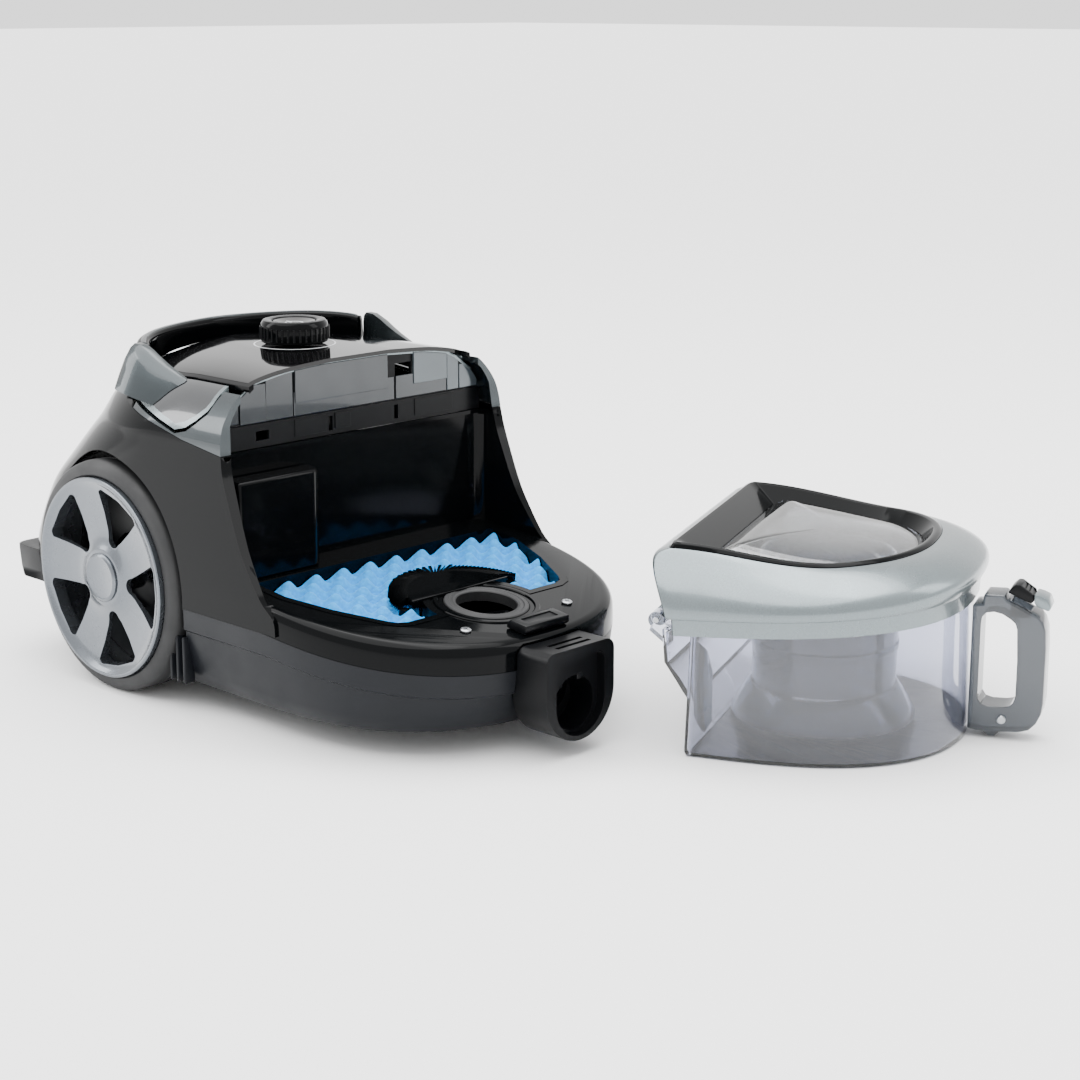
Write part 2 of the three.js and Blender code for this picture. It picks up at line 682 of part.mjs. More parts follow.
function impeller() {
  const back = rod('x', 44, 74, 77, [0, MOTOR.z], 24);
  const vanes = Array.from({ length: 9 }, (_, i) =>
    block(76, 88, -1, 1, 12, 43).rotateX((i * 2 * Math.PI) / 9).translate(0, 0, MOTOR.z));
  return cut(join(back, ...vanes, rod('x', 14, 73, 90, [0, MOTOR.z])),
    rod('x', 4.4, 60, 100, [0, MOTOR.z], 16));
}

const motorShaft = () => rod('x', 4, MOTOR.x0 + 2, 92, [0, MOTOR.z], 16);

const motorWindings = () => cut(
  rod('x', 44, -30, 50, [0, MOTOR.z], 28), rod('x', 9, -40, 70, [0, MOTOR.z], 20),
);

const motorMount = () => cut(
  rod('x', MOTOR.radius + 4, 84, 98, [0, MOTOR.z], 28),
  rod('x', MOTOR.radius + GAP + 0.4, 70, 110, [0, MOTOR.z], 28),
);

function cordReel() {
  const { radius, z0, z1 } = REEL;
  const profile = [
    [7, z0], [radius, z0], [radius, z0 + 2], [28, z0 + 2], [28, z1 - 2], [radius, z1 - 2],
    [radius, z1], [7, z1],
  ];
  return turned([...profile, profile[0]], 28).translate(REEL.x, 0, 0);
}

const reelSpindle = () => join(
  rod('z', 6.5, REEL.z0 - 8, REEL.z1 + 6, [REEL.x, 0]),
  rod('z', 16, REEL.z0 - 9, REEL.z0 - 4, [REEL.x, 0]),
);

const circuitBoard = () => join(
  block(20, 100, -38, 38, 228, 230), rod('z', 9, 229.5, 244, [KNOB.x, 0], 20),
  block(24, 36, -30, 30, 229.5, 240), block(84, 96, -20, 30, 229.5, 238),
);

// ---------------------------------------------------------------- wheels and castor

/** Turned [radius, |y|] profile about the axle, on one side of the machine. */
const wheelTurned = (profile, segments) => turned(profile, segments).rotateX(-Math.PI / 2);

const TYRE_PROFILE = [
  [78.6, 112], [88, 113], [90.4, 119], [90.4, 137], [87, 144], [78.6, 146],
];
const HUB_PROFILE = [
  [0, 139], [62, 139], [74, 135], [74, WHEEL_INNER], [RIM_RADIUS, WHEEL_INNER],
  [RIM_RADIUS, WHEEL_OUTER - 1], [76.5, WHEEL_OUTER], [60, 147], [36, 144.5], [0, 145],
];

function wheelPieces(side) {
  const facing = (geometry) => geometry.scale(1, side, 1).translate(AXLE.x, 0, AXLE.z);
  const tyre = wheelTurned([...TYRE_PROFILE, TYRE_PROFILE[0]], 36);
  const windows = Array.from({ length: 5 }, (_, i) => prismY([
    ...arc(34, 0, 7, 110, 250, 4), ...arc(60, -16, 6, 270, 360, 2), ...arc(60, 16, 6, 0, 90, 2),
  ], 120, 160).rotateY(THREE.MathUtils.degToRad(4 + 72 * i)));
  const boss = rod('y', 14, 114, 140, [0, 0], 16);
  const hub = cut(
    join(wheelTurned(HUB_PROFILE, 36), boss), ...windows, rod('y', 6.4, 100, 141.5, [0, 0], 12),
  );
  const cap = wheelTurned(
    [[0, 145.3], [19, 145.3], [19, 147.4], [17, 148.4], [0, 149]], 24,
  );
  const pin = join(
    rod('y', 6, 91, 141, [0, 0], 12), rod('y', 9, WELL_INNER + 0.5, 113.5, [0, 0], 16),
  );
  return [facing(tyre), facing(hub), facing(cap), facing(pin)];
}

function castorFork() {
  const x = CASTOR.x - CASTOR.trail;
  const plate = rod('z', 19, 35, 38.5, [CASTOR.x, 0], 28);
  const legs = [-16, 12.6].map((y) =>
    prismY([[x - 6, 11], [x + 6, 11], [CASTOR.x + 12, 36], [x - 5, 36]], y, y + 3.4));
  const bridge = block(x - 5, CASTOR.x + 12, -16, 16, 34.6, 38.5);
  return cut(
    join(plate, bridge, ...legs, rod('z', 7, 36, 64, [CASTOR.x, 0])),
    rod('y', 2.8, -30, 30, [x, CASTOR.radius], 16),
  );
}

function castorRoller() {
  const profile = [[2.9, -12], [13.5, -12], [CASTOR.radius, -9], [CASTOR.radius, 9], [13.5, 12], [2.9, 12]];
  return wheelTurned([...profile, profile[0]], 24)
    .translate(CASTOR.x - CASTOR.trail, 0, CASTOR.radius);
}

const castorPin = () => rod('y', 2.5, -15.9, 15.9, [CASTOR.x - CASTOR.trail, CASTOR.radius], 16);

// ---------------------------------------------------------------- dust bin

const rimHeight = (x) => RIM.height + RIM.slope * x;
const BACK_D = [
  ...arc(0, 0, 1, -90, 90, ROUND_STEPS), ...arc(-0.5, 0.9, 0.1, 90, 180, 3).map(([x, y]) => [x - 0.4, y]),
  ...arc(-0.5, -0.9, 0.1, 180, 270, 3).map(([x, y]) => [x - 0.4, y]),
];

/** Corner of a bin outline: half width, rear x and nose x set for each level. */
function binPoint(x, y, half, rear, nose) {
  if (x <= 0) return [BIN.start + (BIN.start - rear) * x, y * half];
  return [
    BIN.start + (nose - BIN.start) * power(x, 2 / BIN.p), half * power(y, 2 / BIN.q),
  ];
}

/** Space taken by the cup, shrunk by its wall and open upwards for the inside. */
function cupSolid(inset) {
  const levels = [[inset, -3.5], [inset + 1.2, -1], [inset + 4, 0], [0, -BIN.draft]];
  return loft(BACK_D, levels.length - 1, (x, y, step) => {
    const [height, offset] = levels[step];
    const grow = offset - inset;
    const [px, py] = binPoint(x, y, BIN.width + grow, -grow, BIN.length + grow);
    const last = step === levels.length - 1;
    return [px, py, last ? rimHeight(px) + 8 + inset * 3 : height];
  });
}

/** Step at the back of the cup that carries the lid hinge. */
function cupStep(inset) {
  const front = inset > 0 ? 12 : 2;
  return prismY([
    [front, 36 + 2 * inset], [inset, 38 + inset], [-9 + inset, 51 + inset], [-18 + inset, 64],
    [-20 + inset, 88 - inset], [front, 88 - inset],
  ], -112 + inset, 112 - inset);
}

/** Knuckles along the hinge line between pairs of y. */
function knuckles(spans) {
  return spans.flatMap(([y0, y1]) => [
    rod('y', HINGE.radius, y0, y1, [HINGE.x, HINGE.z], 20),
    rod('y', HINGE.radius, -y1, -y0, [HINGE.x, HINGE.z], 20),
  ]);
}

function binCup() {
  const body = join(cupSolid(0), cupStep(0));
  const arms = [[-104, -92], [92, 104]].map(([y0, y1]) =>
    prismY([[-19, 74], [-15, 87], [-24, 91], [-30, 91], [-32, 84]], y0, y1));
  const bores = rod('y', 2.5, -110, 110, [HINGE.x, HINGE.z], 16);
  return cut(
    join(cut(body, cupSolid(BIN.wall), cupStep(BIN.wall)), ...arms, ...knuckles([[92, 104]])),
    bores,
  );
}

const inletPlate = () => prismX(
  [[-118, 84], [-118, 30], [-96, 10], [-78, 12], [-78, 50]], 6, 8.5,
);

function cycloneShroud() {
  const { x, radius, top, bottom } = CYCLONE;
  const profile = [
    [radius, bottom], [radius, top - 18], [radius - 3, top - 15], [radius - 3, top],
    [radius - 5.5, top], [radius - 5.5, bottom],
  ];
  return turned([...profile, profile[0]], 32).translate(x, 0, 0);
}

function cycloneSkirt() {
  const { x, radius, skirt, bottom } = CYCLONE;
  const profile = [
    [radius - 5, bottom - 0.5], [radius + 0.5, bottom - 0.5], [radius + 3, bottom - 4],
    [skirt, 10], [skirt, 4.4], [skirt - 2.5, 4.4], [skirt - 2.5, 9], [radius - 5, bottom - 6],
  ];
  return turned([...profile, profile[0]], 32).translate(x, 0, 0);
}

function cycloneCone() {
  const { x } = CYCLONE;
  const profile = [[36, 122], [39, 122], [39, 92], [20, 14], [17, 14], [36, 92.5]];
  return turned([...profile, profile[0]], 24).translate(x, 0, 0);
}

function binHandle() {
  const outside = [
    [181.5, 86], [181.5, 100], [188.6, 100.6], [189, 108], [203, 108.6], [206, 104.6],
    [223, 97], [231, 92], [234, 84], [234.6, 30], [231, 17], [223, 8], [195, 5], [181.5, 6],
  ];
  const opening = [
    [189, 86], [190, 92], [197, 95.6], [203, 94.4], [212, 88.4], [214, 84], [215, 32],
    [212, 26.6], [206, 25], [196, 24.6], [189, 29],
  ];
  const grip = cut(prismY(outside, -12, 12), prismY(opening, -20, 20));
  return cut(grip, block(208, 222, -7, 7, 92, 120));
}

const footClip = () => join(
  prismY([[192, 4.6], [204, 4.9], [201, 1.4], [196, 1.2]], -8, 8),
  prismY([[192, 4.6], [204, 4.9], [204, 4.6], [192, 4.2]], -8, 8),
);

const handleScrew = () => rod('y', 3.2, -14.4, -12.4, [206, 16], 16);

function releasePad() {
  return prismY([[205.5, 110], [211, 116.6], [223.6, 110], [224, 104.4], [222, 103.4], [208, 109]],
    -10, 10);
}

const releaseTip = () => prismY(
  [[224.4, 110.6], [234, 107.6], [236.6, 101.4], [235, 98.6], [226, 101.6], [224.4, 104.4]], -10, 10,
);

/** The lid as one solid, shrunk by a wall. */
function lidSolid(inset = 0) {
  return loft(BACK_D, LID.length - 1, (x, y, step) => {
    const [height, half, rear, nose] = LID[step];
    const [px, py] = binPoint(x, y, half - inset, rear + inset, nose - inset);
    const drop = step === 0 ? 4 * inset : inset;
    return [px, py, rimHeight(px) + height - drop];
  });
}

/** Everything above a height over the lid's lower edge. */
function aboveRim(height) {
  return loft([[-60, -160], [260, -160], [260, 160], [-60, 160]], 1,
    (x, y, step) => [x, y, step ? 400 : rimHeight(x) + height]);
}

/** Window opening of the lid: wide at the back, drawn to a round front. */
function windowPlan(inset) {
  const back = [...arc(22, -92, 9 - inset, 270, 180, 3), ...arc(22, 92, 9 - inset, 180, 90, 3)];
  const side = [[60, 96], [92, 86], [120, 68], [140, 44], [149, 22], [151, 0]];
  const shrink = ([x, y]) => [x - inset, y - Math.sign(y) * inset];
  return [...back, ...side.map(shrink), ...side.slice(0, -1).map(shrink).map(([x, y]) => [x, -y]).reverse()];
}

const LID_WALL = 2.6;
const lidShell = () => cut(lidSolid(), lidSolid(LID_WALL));

function lidFrame() {
  const band = cut(lidShell(), aboveRim(LID_SPLIT));
  const arms = [[-91.5, -84], [84, 91.5]].map(([y0, y1]) => prismY(
    [[-11, 98], [-13, 112], [-16, 112], [-30, 97.4], [-32, 92], [-24, 92]], y0, y1,
  ));
  const joined = join(band, ...arms.map((arm) => cut(arm, lidSolid(LID_WALL))),
    ...knuckles([[84, 91.5]]));
  return cut(joined, rod('y', 2.5, -110, 110, [HINGE.x, HINGE.z], 16));
}

const lidRing = () => cut(
  common(lidShell(), aboveRim(LID_SPLIT + GAP)), prismZ(windowPlan(0), 100, 200),
);
const lidWindow = () => common(
  lidShell(), aboveRim(LID_SPLIT + GAP), prismZ(windowPlan(GAP), 100, 200),
);

function lidSeal() {
  const ring = (grow, low, high) => loft(BACK_D, 1, (x, y, step) => {
    const [px, py] = binPoint(x, y, BIN.width + grow, -grow, BIN.length + grow);
    return [px, py, rimHeight(px) + (step ? high : low)];
  });
  return cut(ring(-2.6, 8.5, 11.4), ring(-6.6, 5, 15));
}

function hingePin(side) {
  const [from, to] = [side * 83.5, side * 104.5].sort((a, b) => a - b);
  return rod('y', 2, from, to, [HINGE.x, HINGE.z], 14);
}

// ---------------------------------------------------------------- assembly

/** Named piece of the machine. */
function piece(name, geometry, look) {
  const shape = welded(geometry);
  shape.computeVertexNormals();
  const mesh = new THREE.Mesh(shape, finish(...look));
  mesh.name = name;
  return mesh;
}

function machine() {
  const group = new THREE.Group();
  group.add(
    piece('lower_housing', lowerHousing(), PAN_GREY),
    piece('upper_housing', upperHousing(), GLOSS_BLACK),
    piece('hose_socket', hoseSocket(), SATIN_BLACK),
    piece('inlet_duct', inletDuct(), SATIN_BLACK),
    piece('inlet_gasket', inletGasket(), RUBBER),
    piece('filter_frame', filterFrame(), SATIN_BLACK),
    piece('foam_filter', foamFilter(), FOAM_BLUE),
    piece('deck_catch', deckCatch(), SATIN_BLACK),
    piece('silver_frame', silverFrame(), SILVER),
    piece('lock_strip', lockStrip(), SATIN_BLACK),
    piece('top_cover', topCover(), GLOSS_BLACK),
    piece('carry_handle', carryHandle(), SATIN_BLACK),
    piece('speed_knob', speedKnob(), GLOSS_BLACK),
    piece('power_button', powerButton(), STEEL),
    piece('rear_bumper', rearBumper(), SATIN_BLACK),
    piece('exhaust_grille', exhaustGrille(), SATIN_BLACK),
    piece('hepa_filter', hepaFilter(), PAPER),
    piece('cord_inlet', cordInlet(), RUBBER),
    piece('motor_housing', motorHousing(), SATIN_BLACK),
    piece('motor_windings', motorWindings(), COPPER),
    piece('motor_shaft', motorShaft(), STEEL),
    piece('motor_mount', motorMount(), RUBBER),
    piece('impeller', impeller(), STEEL),
    piece('cord_reel', cordReel(), SATIN_BLACK),
    piece('reel_spindle', reelSpindle(), STEEL),
    piece('circuit_board', circuitBoard(), BOARD_GREEN),
    piece('castor_fork', castorFork(), SATIN_BLACK),
    piece('castor_roller', castorRoller(), RUBBER),
    piece('castor_pin', castorPin(), STEEL),
  );
  for (const [side, hand] of [[-1, 'right'], [1, 'left']]) {
    const [tyre, hub, cap, pin] = wheelPieces(side);
    group.add(
      piece(`tyre_${hand}`, tyre, RUBBER),
      piece(`hub_${hand}`, hub, SILVER),
      piece(`hub_cap_${hand}`, cap, SILVER),
      piece(`axle_pin_${hand}`, pin, STEEL),
      piece(`deck_screw_${hand}`, deckScrew(side), STEEL),
      piece(`pedal_${hand}`, pedal(side), SMOKE),
      piece(`pedal_cap_${hand}`, pedalCap(side), SILVER),
    );
  }
  return group;
}

function dustBin() {
  const group = new THREE.Group();
  group.add(
    piece('bin_cup', binCup(), CLEAR),
    piece('inlet_plate', inletPlate(), SMOKE),
    piece('cyclone_shroud', cycloneShroud(), SMOKE),
    piece('cyclone_skirt', cycloneSkirt(), SMOKE),
    piece('cyclone_cone', cycloneCone(), SMOKE),
    piece('bin_handle', binHandle(), SMOKE),
    piece('handle_screw', handleScrew(), STEEL),
    piece('bin_foot_clip', footClip(), SMOKE),
    piece('release_pad', releasePad(), SATIN_BLACK),
    piece('release_tip', releaseTip(), SILVER),
    piece('lid_frame', lidFrame(), SILVER),
    piece('lid_ring', lidRing(), GLOSS_BLACK),
    piece('lid_window', lidWindow(), CLEAR),
    piece('lid_seal', lidSeal(), RUBBER),
    piece('hinge_pin_right', hingePin(-1), STEEL),
    piece('hinge_pin_left', hingePin(1), STEEL),
  );
  group.rotation.z = BIN_PLACE.turn;
  group.position.set(BIN_PLACE.x, BIN_PLACE.y, 0);
  return group;
}

const vacuumCleaner = new THREE.Group();
vacuumCleaner.add(machine(), dustBin());
vacuumCleaner.updateMatrixWorld(true);
const extent = new THREE.Box3().setFromObject(vacuumCleaner, true);
const centre = extent.getCenter(new THREE.Vector3());
vacuumCleaner.position.set(-centre.x, -centre.y, -extent.min.z);

export default vacuumCleaner;
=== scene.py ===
"""Visual model of a canister vacuum cleaner whose clear dust bin stands beside it.

Every sub-assembly is modelled in millimetres in its own place: the machine with the floor under
its wheel axle as its origin and the hose socket towards +X, and the bin with the middle of its
back edge as its origin and its handle towards +X. Pieces are set into the part's frame in metres
as they are finished.
"""

import logging
import math
from dataclasses import dataclass, field
from enum import Enum
from typing import Callable, Sequence

import bmesh
import bpy
from mathutils import Matrix, Vector


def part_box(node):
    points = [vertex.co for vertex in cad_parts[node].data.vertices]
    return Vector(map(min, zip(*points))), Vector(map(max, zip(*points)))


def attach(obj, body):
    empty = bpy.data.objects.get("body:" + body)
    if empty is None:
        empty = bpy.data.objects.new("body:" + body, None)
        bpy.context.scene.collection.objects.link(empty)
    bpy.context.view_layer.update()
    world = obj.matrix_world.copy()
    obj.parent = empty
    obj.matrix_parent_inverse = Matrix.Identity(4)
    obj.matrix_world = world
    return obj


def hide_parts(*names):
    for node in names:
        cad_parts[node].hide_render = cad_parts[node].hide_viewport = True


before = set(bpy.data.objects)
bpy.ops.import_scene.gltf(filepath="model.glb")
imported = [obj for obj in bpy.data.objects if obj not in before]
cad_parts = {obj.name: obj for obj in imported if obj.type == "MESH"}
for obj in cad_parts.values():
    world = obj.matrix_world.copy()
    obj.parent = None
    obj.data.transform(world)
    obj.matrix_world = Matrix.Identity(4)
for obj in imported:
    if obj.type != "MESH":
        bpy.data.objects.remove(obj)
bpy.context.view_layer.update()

LOG = logging.getLogger("canister")
MM = 0.001
MERGE = 1e-4  # mm, corners closer than this are one

Point = tuple[float, float]
Shape = bmesh.types.BMesh


# ------------------------------------------------------------------------------- finishes


def linear(code: str, alpha: float = 1.0) -> tuple[float, float, float, float]:
    """Turns an sRGB hex colour into the linear colour that shaders take.

    Args:
        code: Six hex digits.
        alpha: Opacity to add as the fourth value.

    Returns:
        Red, green, blue and alpha.
    """
    values = [int(code[i:i + 2], 16) / 255 for i in (0, 2, 4)]
    red, green, blue = (v / 12.92 if v <= 0.04045 else ((v + 0.055) / 1.055) ** 2.4 for v in values)
    return red, green, blue, alpha


def add(tree: bpy.types.NodeTree, kind: str, inputs: dict | None = None, **settings) -> bpy.types.Node:
    """Adds a node with its settings and links.

    Args:
        tree: The node tree that gets the node.
        kind: Blender's name of the node type.
        inputs: Socket name or number to a value, or to the socket that feeds it.
        **settings: Attributes of the node.

    Returns:
        The new node.
    """
    made = tree.nodes.new(kind)
    for name, value in settings.items():
        setattr(made, name, value)
    for socket, value in (inputs or {}).items():
        if isinstance(value, bpy.types.NodeSocket):
            tree.links.new(value, made.inputs[socket])
        else:
            made.inputs[socket].default_value = value
    return made


class Grain(Enum):
    """How the surface of a material is broken up."""

    MOULDED = "moulded"  # spark-eroded mould texture, even in all directions
    FLAKE = "flake"  # metal flakes under lacquer
    BRUSHED = "brushed"  # long scratches along one axis
    PORES = "pores"  # open cells of foam


@dataclass(frozen=True)
class Finish:
    """A material by what it is and how its surface was made.

    Attributes:
        name: Common name of the material.
        colour: sRGB hex colour.
        roughness: Middle of the roughness range.
        spread: How far the roughness wanders from the middle.
        metallic: 1 for a bare metal.
        ior: Index of refraction, for what isn't a metal.
        grain: How the surface is broken up.
        grain_mm: Size of one grain in millimetres.
        depth_mm: Depth of the grain in millimetres.
        tint: How much darker the second tone of the colour is.
        mottle_mm: Size of the patches of second tone in millimetres.
        coat: Strength of a clear top coat.
        transmission: How much light passes through.
        sheen: Strength of the soft edge glow of cloth and foam.
        specular: Strength of the mirror reflection, 0.5 for a clean surface.
    """

    name: str
    colour: str
    roughness: float
    spread: float = 0.05
    metallic: float = 0.0
    ior: float = 1.5
    grain: Grain = Grain.MOULDED
    grain_mm: float = 0.8
    depth_mm: float = 0.01
    tint: float = 0.12
    mottle_mm: float = 25.0
    coat: float = 0.0
    transmission: float = 0.0
    sheen: float = 0.0
    specular: float = 0.5

    def pattern(self, tree: bpy.types.NodeTree, place: bpy.types.NodeSocket) -> bpy.types.NodeSocket:
        """Builds the height pattern of the surface.

        Args:
            tree: The material's node tree.
            place: Object coordinates in metres.

        Returns:
            A socket with heights between 0 and 1.
        """
        scale = 1 / (self.grain_mm * MM)
        if self.grain is Grain.PORES:
            cells = add(tree, "ShaderNodeTexVoronoi", {"Vector": place, "Scale": scale}, feature="SMOOTH_F1")
            return cells.outputs["Distance"]
        if self.grain is Grain.FLAKE:
            cells = add(tree, "ShaderNodeTexVoronoi", {"Vector": place, "Scale": scale})
            grey = add(tree, "ShaderNodeRGBToBW", {"Color": cells.outputs["Color"]})
            return grey.outputs["Val"]
        if self.grain is Grain.BRUSHED:
            place = add(tree, "ShaderNodeMapping", {"Vector": place, "Scale": (0.04, 1, 1)}).outputs["Vector"]
        noise = add(tree, "ShaderNodeTexNoise", {"Vector": place, "Scale": scale, "Detail": 3.0})
        return noise.outputs["Fac"]

    def material(self) -> bpy.types.Material:
        """Returns the material, made the first time it is asked for."""
        known = bpy.data.materials.get(self.name)
        if known:
            return known
        made = bpy.data.materials.new(self.name)
        made.use_nodes = True
        tree = made.node_tree
        shader = tree.nodes["Principled BSDF"]
        place = add(tree, "ShaderNodeTexCoord").outputs["Object"]
        height = self.pattern(tree, place)
        patches = add(tree, "ShaderNodeTexNoise", {
            "Vector": place, "Scale": 1 / (self.mottle_mm * MM), "Detail": 4.0,
        }).outputs["Fac"]
        base = linear(self.colour)
        second = tuple(v * (1 - self.tint) for v in base[:3]) + (1.0,)
        blend = height if self.grain in (Grain.FLAKE, Grain.PORES) else patches
        tone = add(tree, "ShaderNodeMix", {"Factor": blend, 6: base, 7: second}, data_type="RGBA")
        tree.links.new(tone.outputs[2], shader.inputs["Base Color"])
        wander = add(tree, "ShaderNodeMapRange", {
            "Value": patches, "From Min": 0.3, "From Max": 0.7,
            "To Min": max(0.0, self.roughness - self.spread), "To Max": self.roughness + self.spread,
        })
        tree.links.new(wander.outputs["Result"], shader.inputs["Roughness"])
        bump = add(tree, "ShaderNodeBump", {
            "Height": height, "Distance": self.depth_mm * MM, "Strength": 1.0,
        })
        tree.links.new(bump.outputs["Normal"], shader.inputs["Normal"])
        shader.inputs["Metallic"].default_value = self.metallic
        if self.metallic < 1:
            shader.inputs["IOR"].default_value = self.ior
        shader.inputs["Coat Weight"].default_value = self.coat
        shader.inputs["Coat Roughness"].default_value = 0.04
        shader.inputs["Transmission Weight"].default_value = self.transmission
        shader.inputs["Sheen Weight"].default_value = self.sheen
        shader.inputs["Specular IOR Level"].default_value = self.specular
        return made


# Polished black ABS: mirror-smooth out of a polished mould, with a faint orange peel.
GLOSS_BLACK = Finish("abs-gloss-black", "040506", 0.11, 0.03, ior=1.5, grain_mm=9, depth_mm=0.006,
                     specular=0.09)
# Black ABS of the cover, polished harder than the shell and lacquered.
COVER_BLACK = Finish("abs-piano-black", "060607", 0.05, 0.02, ior=1.5, grain_mm=11, depth_mm=0.004, coat=0.15,
                     specular=0.25)
# Black ABS from an eroded mould: fine even grain that breaks up highlights.
SATIN_BLACK = Finish("abs-satin-black", "07080a", 0.34, 0.06, ior=1.5, grain_mm=0.9, depth_mm=0.012,
                     specular=0.14)
# Dark grey ABS of the floor pan, with a coarser eroded grain.
PAN_GREY = Finish("abs-pan-grey", "131519", 0.38, 0.06, ior=1.5, grain_mm=1.0, depth_mm=0.02, specular=0.15)
# Silver lacquer with fine aluminium flake under a clear coat.
SILVER_LACQUER = Finish("silver-lacquer", "757f82", 0.28, 0.04, metallic=0.8, grain=Grain.FLAKE,
                        grain_mm=0.5, depth_mm=0.002, tint=0.2, coat=0.5)
# Darker grey metallic lacquer of the legs beside the pedals, also used for the painted highlight along the
# bow's top edge.
GREY_LACQUER = Finish("grey-lacquer", "31383b", 0.26, 0.04, metallic=0.75, grain=Grain.FLAKE,
                      grain_mm=0.5, depth_mm=0.002, tint=0.2, coat=0.5)
# Darker metallic lacquer of the wheel hubs.
HUB_LACQUER = Finish("hub-lacquer", "6a6f75", 0.27, 0.05, metallic=0.85, grain=Grain.FLAKE,
                     grain_mm=0.5, depth_mm=0.002, tint=0.25, coat=0.4)
# Black chrome plating of the power button.
BLACK_CHROME = Finish("black-chrome", "4b4a49", 0.09, 0.02, metallic=1.0, grain_mm=6, depth_mm=0.002,
                      tint=0.06)
# Turned bare steel.
STEEL = Finish("turned-steel", "b5b8bb", 0.3, 0.08, metallic=1.0, grain=Grain.BRUSHED, grain_mm=0.4,
               depth_mm=0.005)
# Smoky polycarbonate over a silver ground, as on the pedals: grey with a glass-like skin.
SMOKED_PANEL = Finish("smoked-polycarbonate-panel", "2f3134", 0.16, 0.05, metallic=0.55, ior=1.585,
                      grain_mm=16, depth_mm=0.01, tint=0.35, mottle_mm=45, coat=0.9)
# Smoky blue-grey polycarbonate of the strip round the pocket's mouth.
STRIP_SMOKE = Finish("smoked-polycarbonate-strip", "22272b", 0.2, 0.05, metallic=0.35, ior=1.585,
                     grain_mm=8, depth_mm=0.006, tint=0.2, coat=0.4)
# The paler end of the strip, where the light shines through it.
STRIP_PALE = Finish("smoked-polycarbonate-pale", "474f53", 0.2, 0.05, metallic=0.35, ior=1.585,
                    grain_mm=8, depth_mm=0.006, tint=0.2, coat=0.4)
# See-through smoky polycarbonate of the bin's grip.
SMOKE_GREY = Finish("smoked-polycarbonate", "43484e", 0.08, 0.03, ior=1.585, grain_mm=8, depth_mm=0.004,
                    tint=0.1, transmission=0.72)
# See-through blue-grey polycarbonate of the cyclone.
SMOKE_CLEAR = Finish("smoked-polycarbonate-blue", "5d7084", 0.07, 0.02, ior=1.585, grain_mm=8, depth_mm=0.004,
                     tint=0.08, transmission=0.85)
# Clear polycarbonate, with the faint flow of moulding and a trace of lilac.
CLEAR = Finish("clear-polycarbonate", "ced1df", 0.03, 0.015, ior=1.585, grain_mm=14, depth_mm=0.003,
               tint=0.03, transmission=1.0)
# Water-clear polycarbonate of the lid's dome.
DOME_CLEAR = Finish("clear-polycarbonate-dome", "f2f3f6", 0.03, 0.015, ior=1.585, grain_mm=14,
                    depth_mm=0.003, tint=0.02, transmission=1.0)
# Soft black rubber, matt with fine dust in its grain.
RUBBER = Finish("black-rubber", "0e0f11", 0.62, 0.08, ior=1.52, grain_mm=1.2, depth_mm=0.03, tint=0.25)
# Open-cell polyurethane foam, dyed blue; its pores show as dark pinholes.
BLUE_FOAM = Finish("polyurethane-foam-blue", "0f97e2", 0.95, 0.03, ior=1.45, grain=Grain.PORES,
                   grain_mm=2.2, depth_mm=0.5, tint=0.3, sheen=0.08)
# Enamelled copper wire.
COPPER = Finish("enamelled-copper", "b06b3a", 0.35, 0.08, metallic=1.0, grain=Grain.BRUSHED, grain_mm=1.0,
                depth_mm=0.1)
# Fibreglass circuit board under green solder mask.
SOLDER_MASK = Finish("solder-mask-green", "1d6b3c", 0.3, 0.08, grain_mm=1.5, depth_mm=0.02)
# Pleated cellulose filter paper.
FILTER_PAPER = Finish("filter-paper", "e9e7e0", 0.9, 0.04, ior=1.45, grain_mm=0.6, depth_mm=0.03)
# Screen-printed white marks.
WHITE_INK = Finish("white-ink", "d8dadc", 0.4, 0.05, grain_mm=0.5, depth_mm=0.004)


# ------------------------------------------------------------------------------- shapes


def arc(x: float, y: float, radius: float, start: float, end: float, steps: int) -> list[Point]:
    """Points along an arc.

    Args:
        x: Centre, first axis.
        y: Centre, second axis.
        radius: Radius.
        start: First angle in degrees.
        end: Last angle in degrees.
        steps: Number of steps between them.

    Returns:
        The points, with both ends.
    """
    angles = [math.radians(start + (end - start) * i / steps) for i in range(steps + 1)]
    return [(x + radius * math.cos(a), y + radius * math.sin(a)) for a in angles]


def split(points: Sequence[Point], pieces: int) -> list[Point]:
    """Puts even steps between the corners of an open line, and leaves its last point out."""
    made = []
    for (ax, ay), (bx, by) in zip(points, points[1:]):
        made += [(ax + (bx - ax) * i / pieces, ay + (by - ay) * i / pieces) for i in range(pieces)]
    return made


def power(value: float, exponent: float) -> float:
    """Raises a value to a power and keeps its sign."""
    return math.copysign(abs(value) ** exponent, value)


def smooth_rows(rows: Sequence[Sequence[float]], steps: int) -> list[list[float]]:
    """Draws smooth curves through a table's rows.

    Args:
        rows: Table whose columns each vary smoothly down the rows.
        steps: New rows between two old ones.

    Returns:
        The finer table, with the old rows in it.
    """
    made = []
    last = len(rows) - 1
    for k in range(last):
        before, a, b, after = rows[max(0, k - 1)], rows[k], rows[k + 1], rows[min(last, k + 2)]
        for i in range(steps):
            t = i / steps
            made.append([
                0.5 * (2 * q + (r - p) * t + (2 * p - 5 * q + 4 * r - s) * t * t
                       + (3 * q - p - 3 * r + s) * t ** 3)
                for p, q, r, s in zip(before, a, b, after)
            ])
    return made + [list(rows[last])]


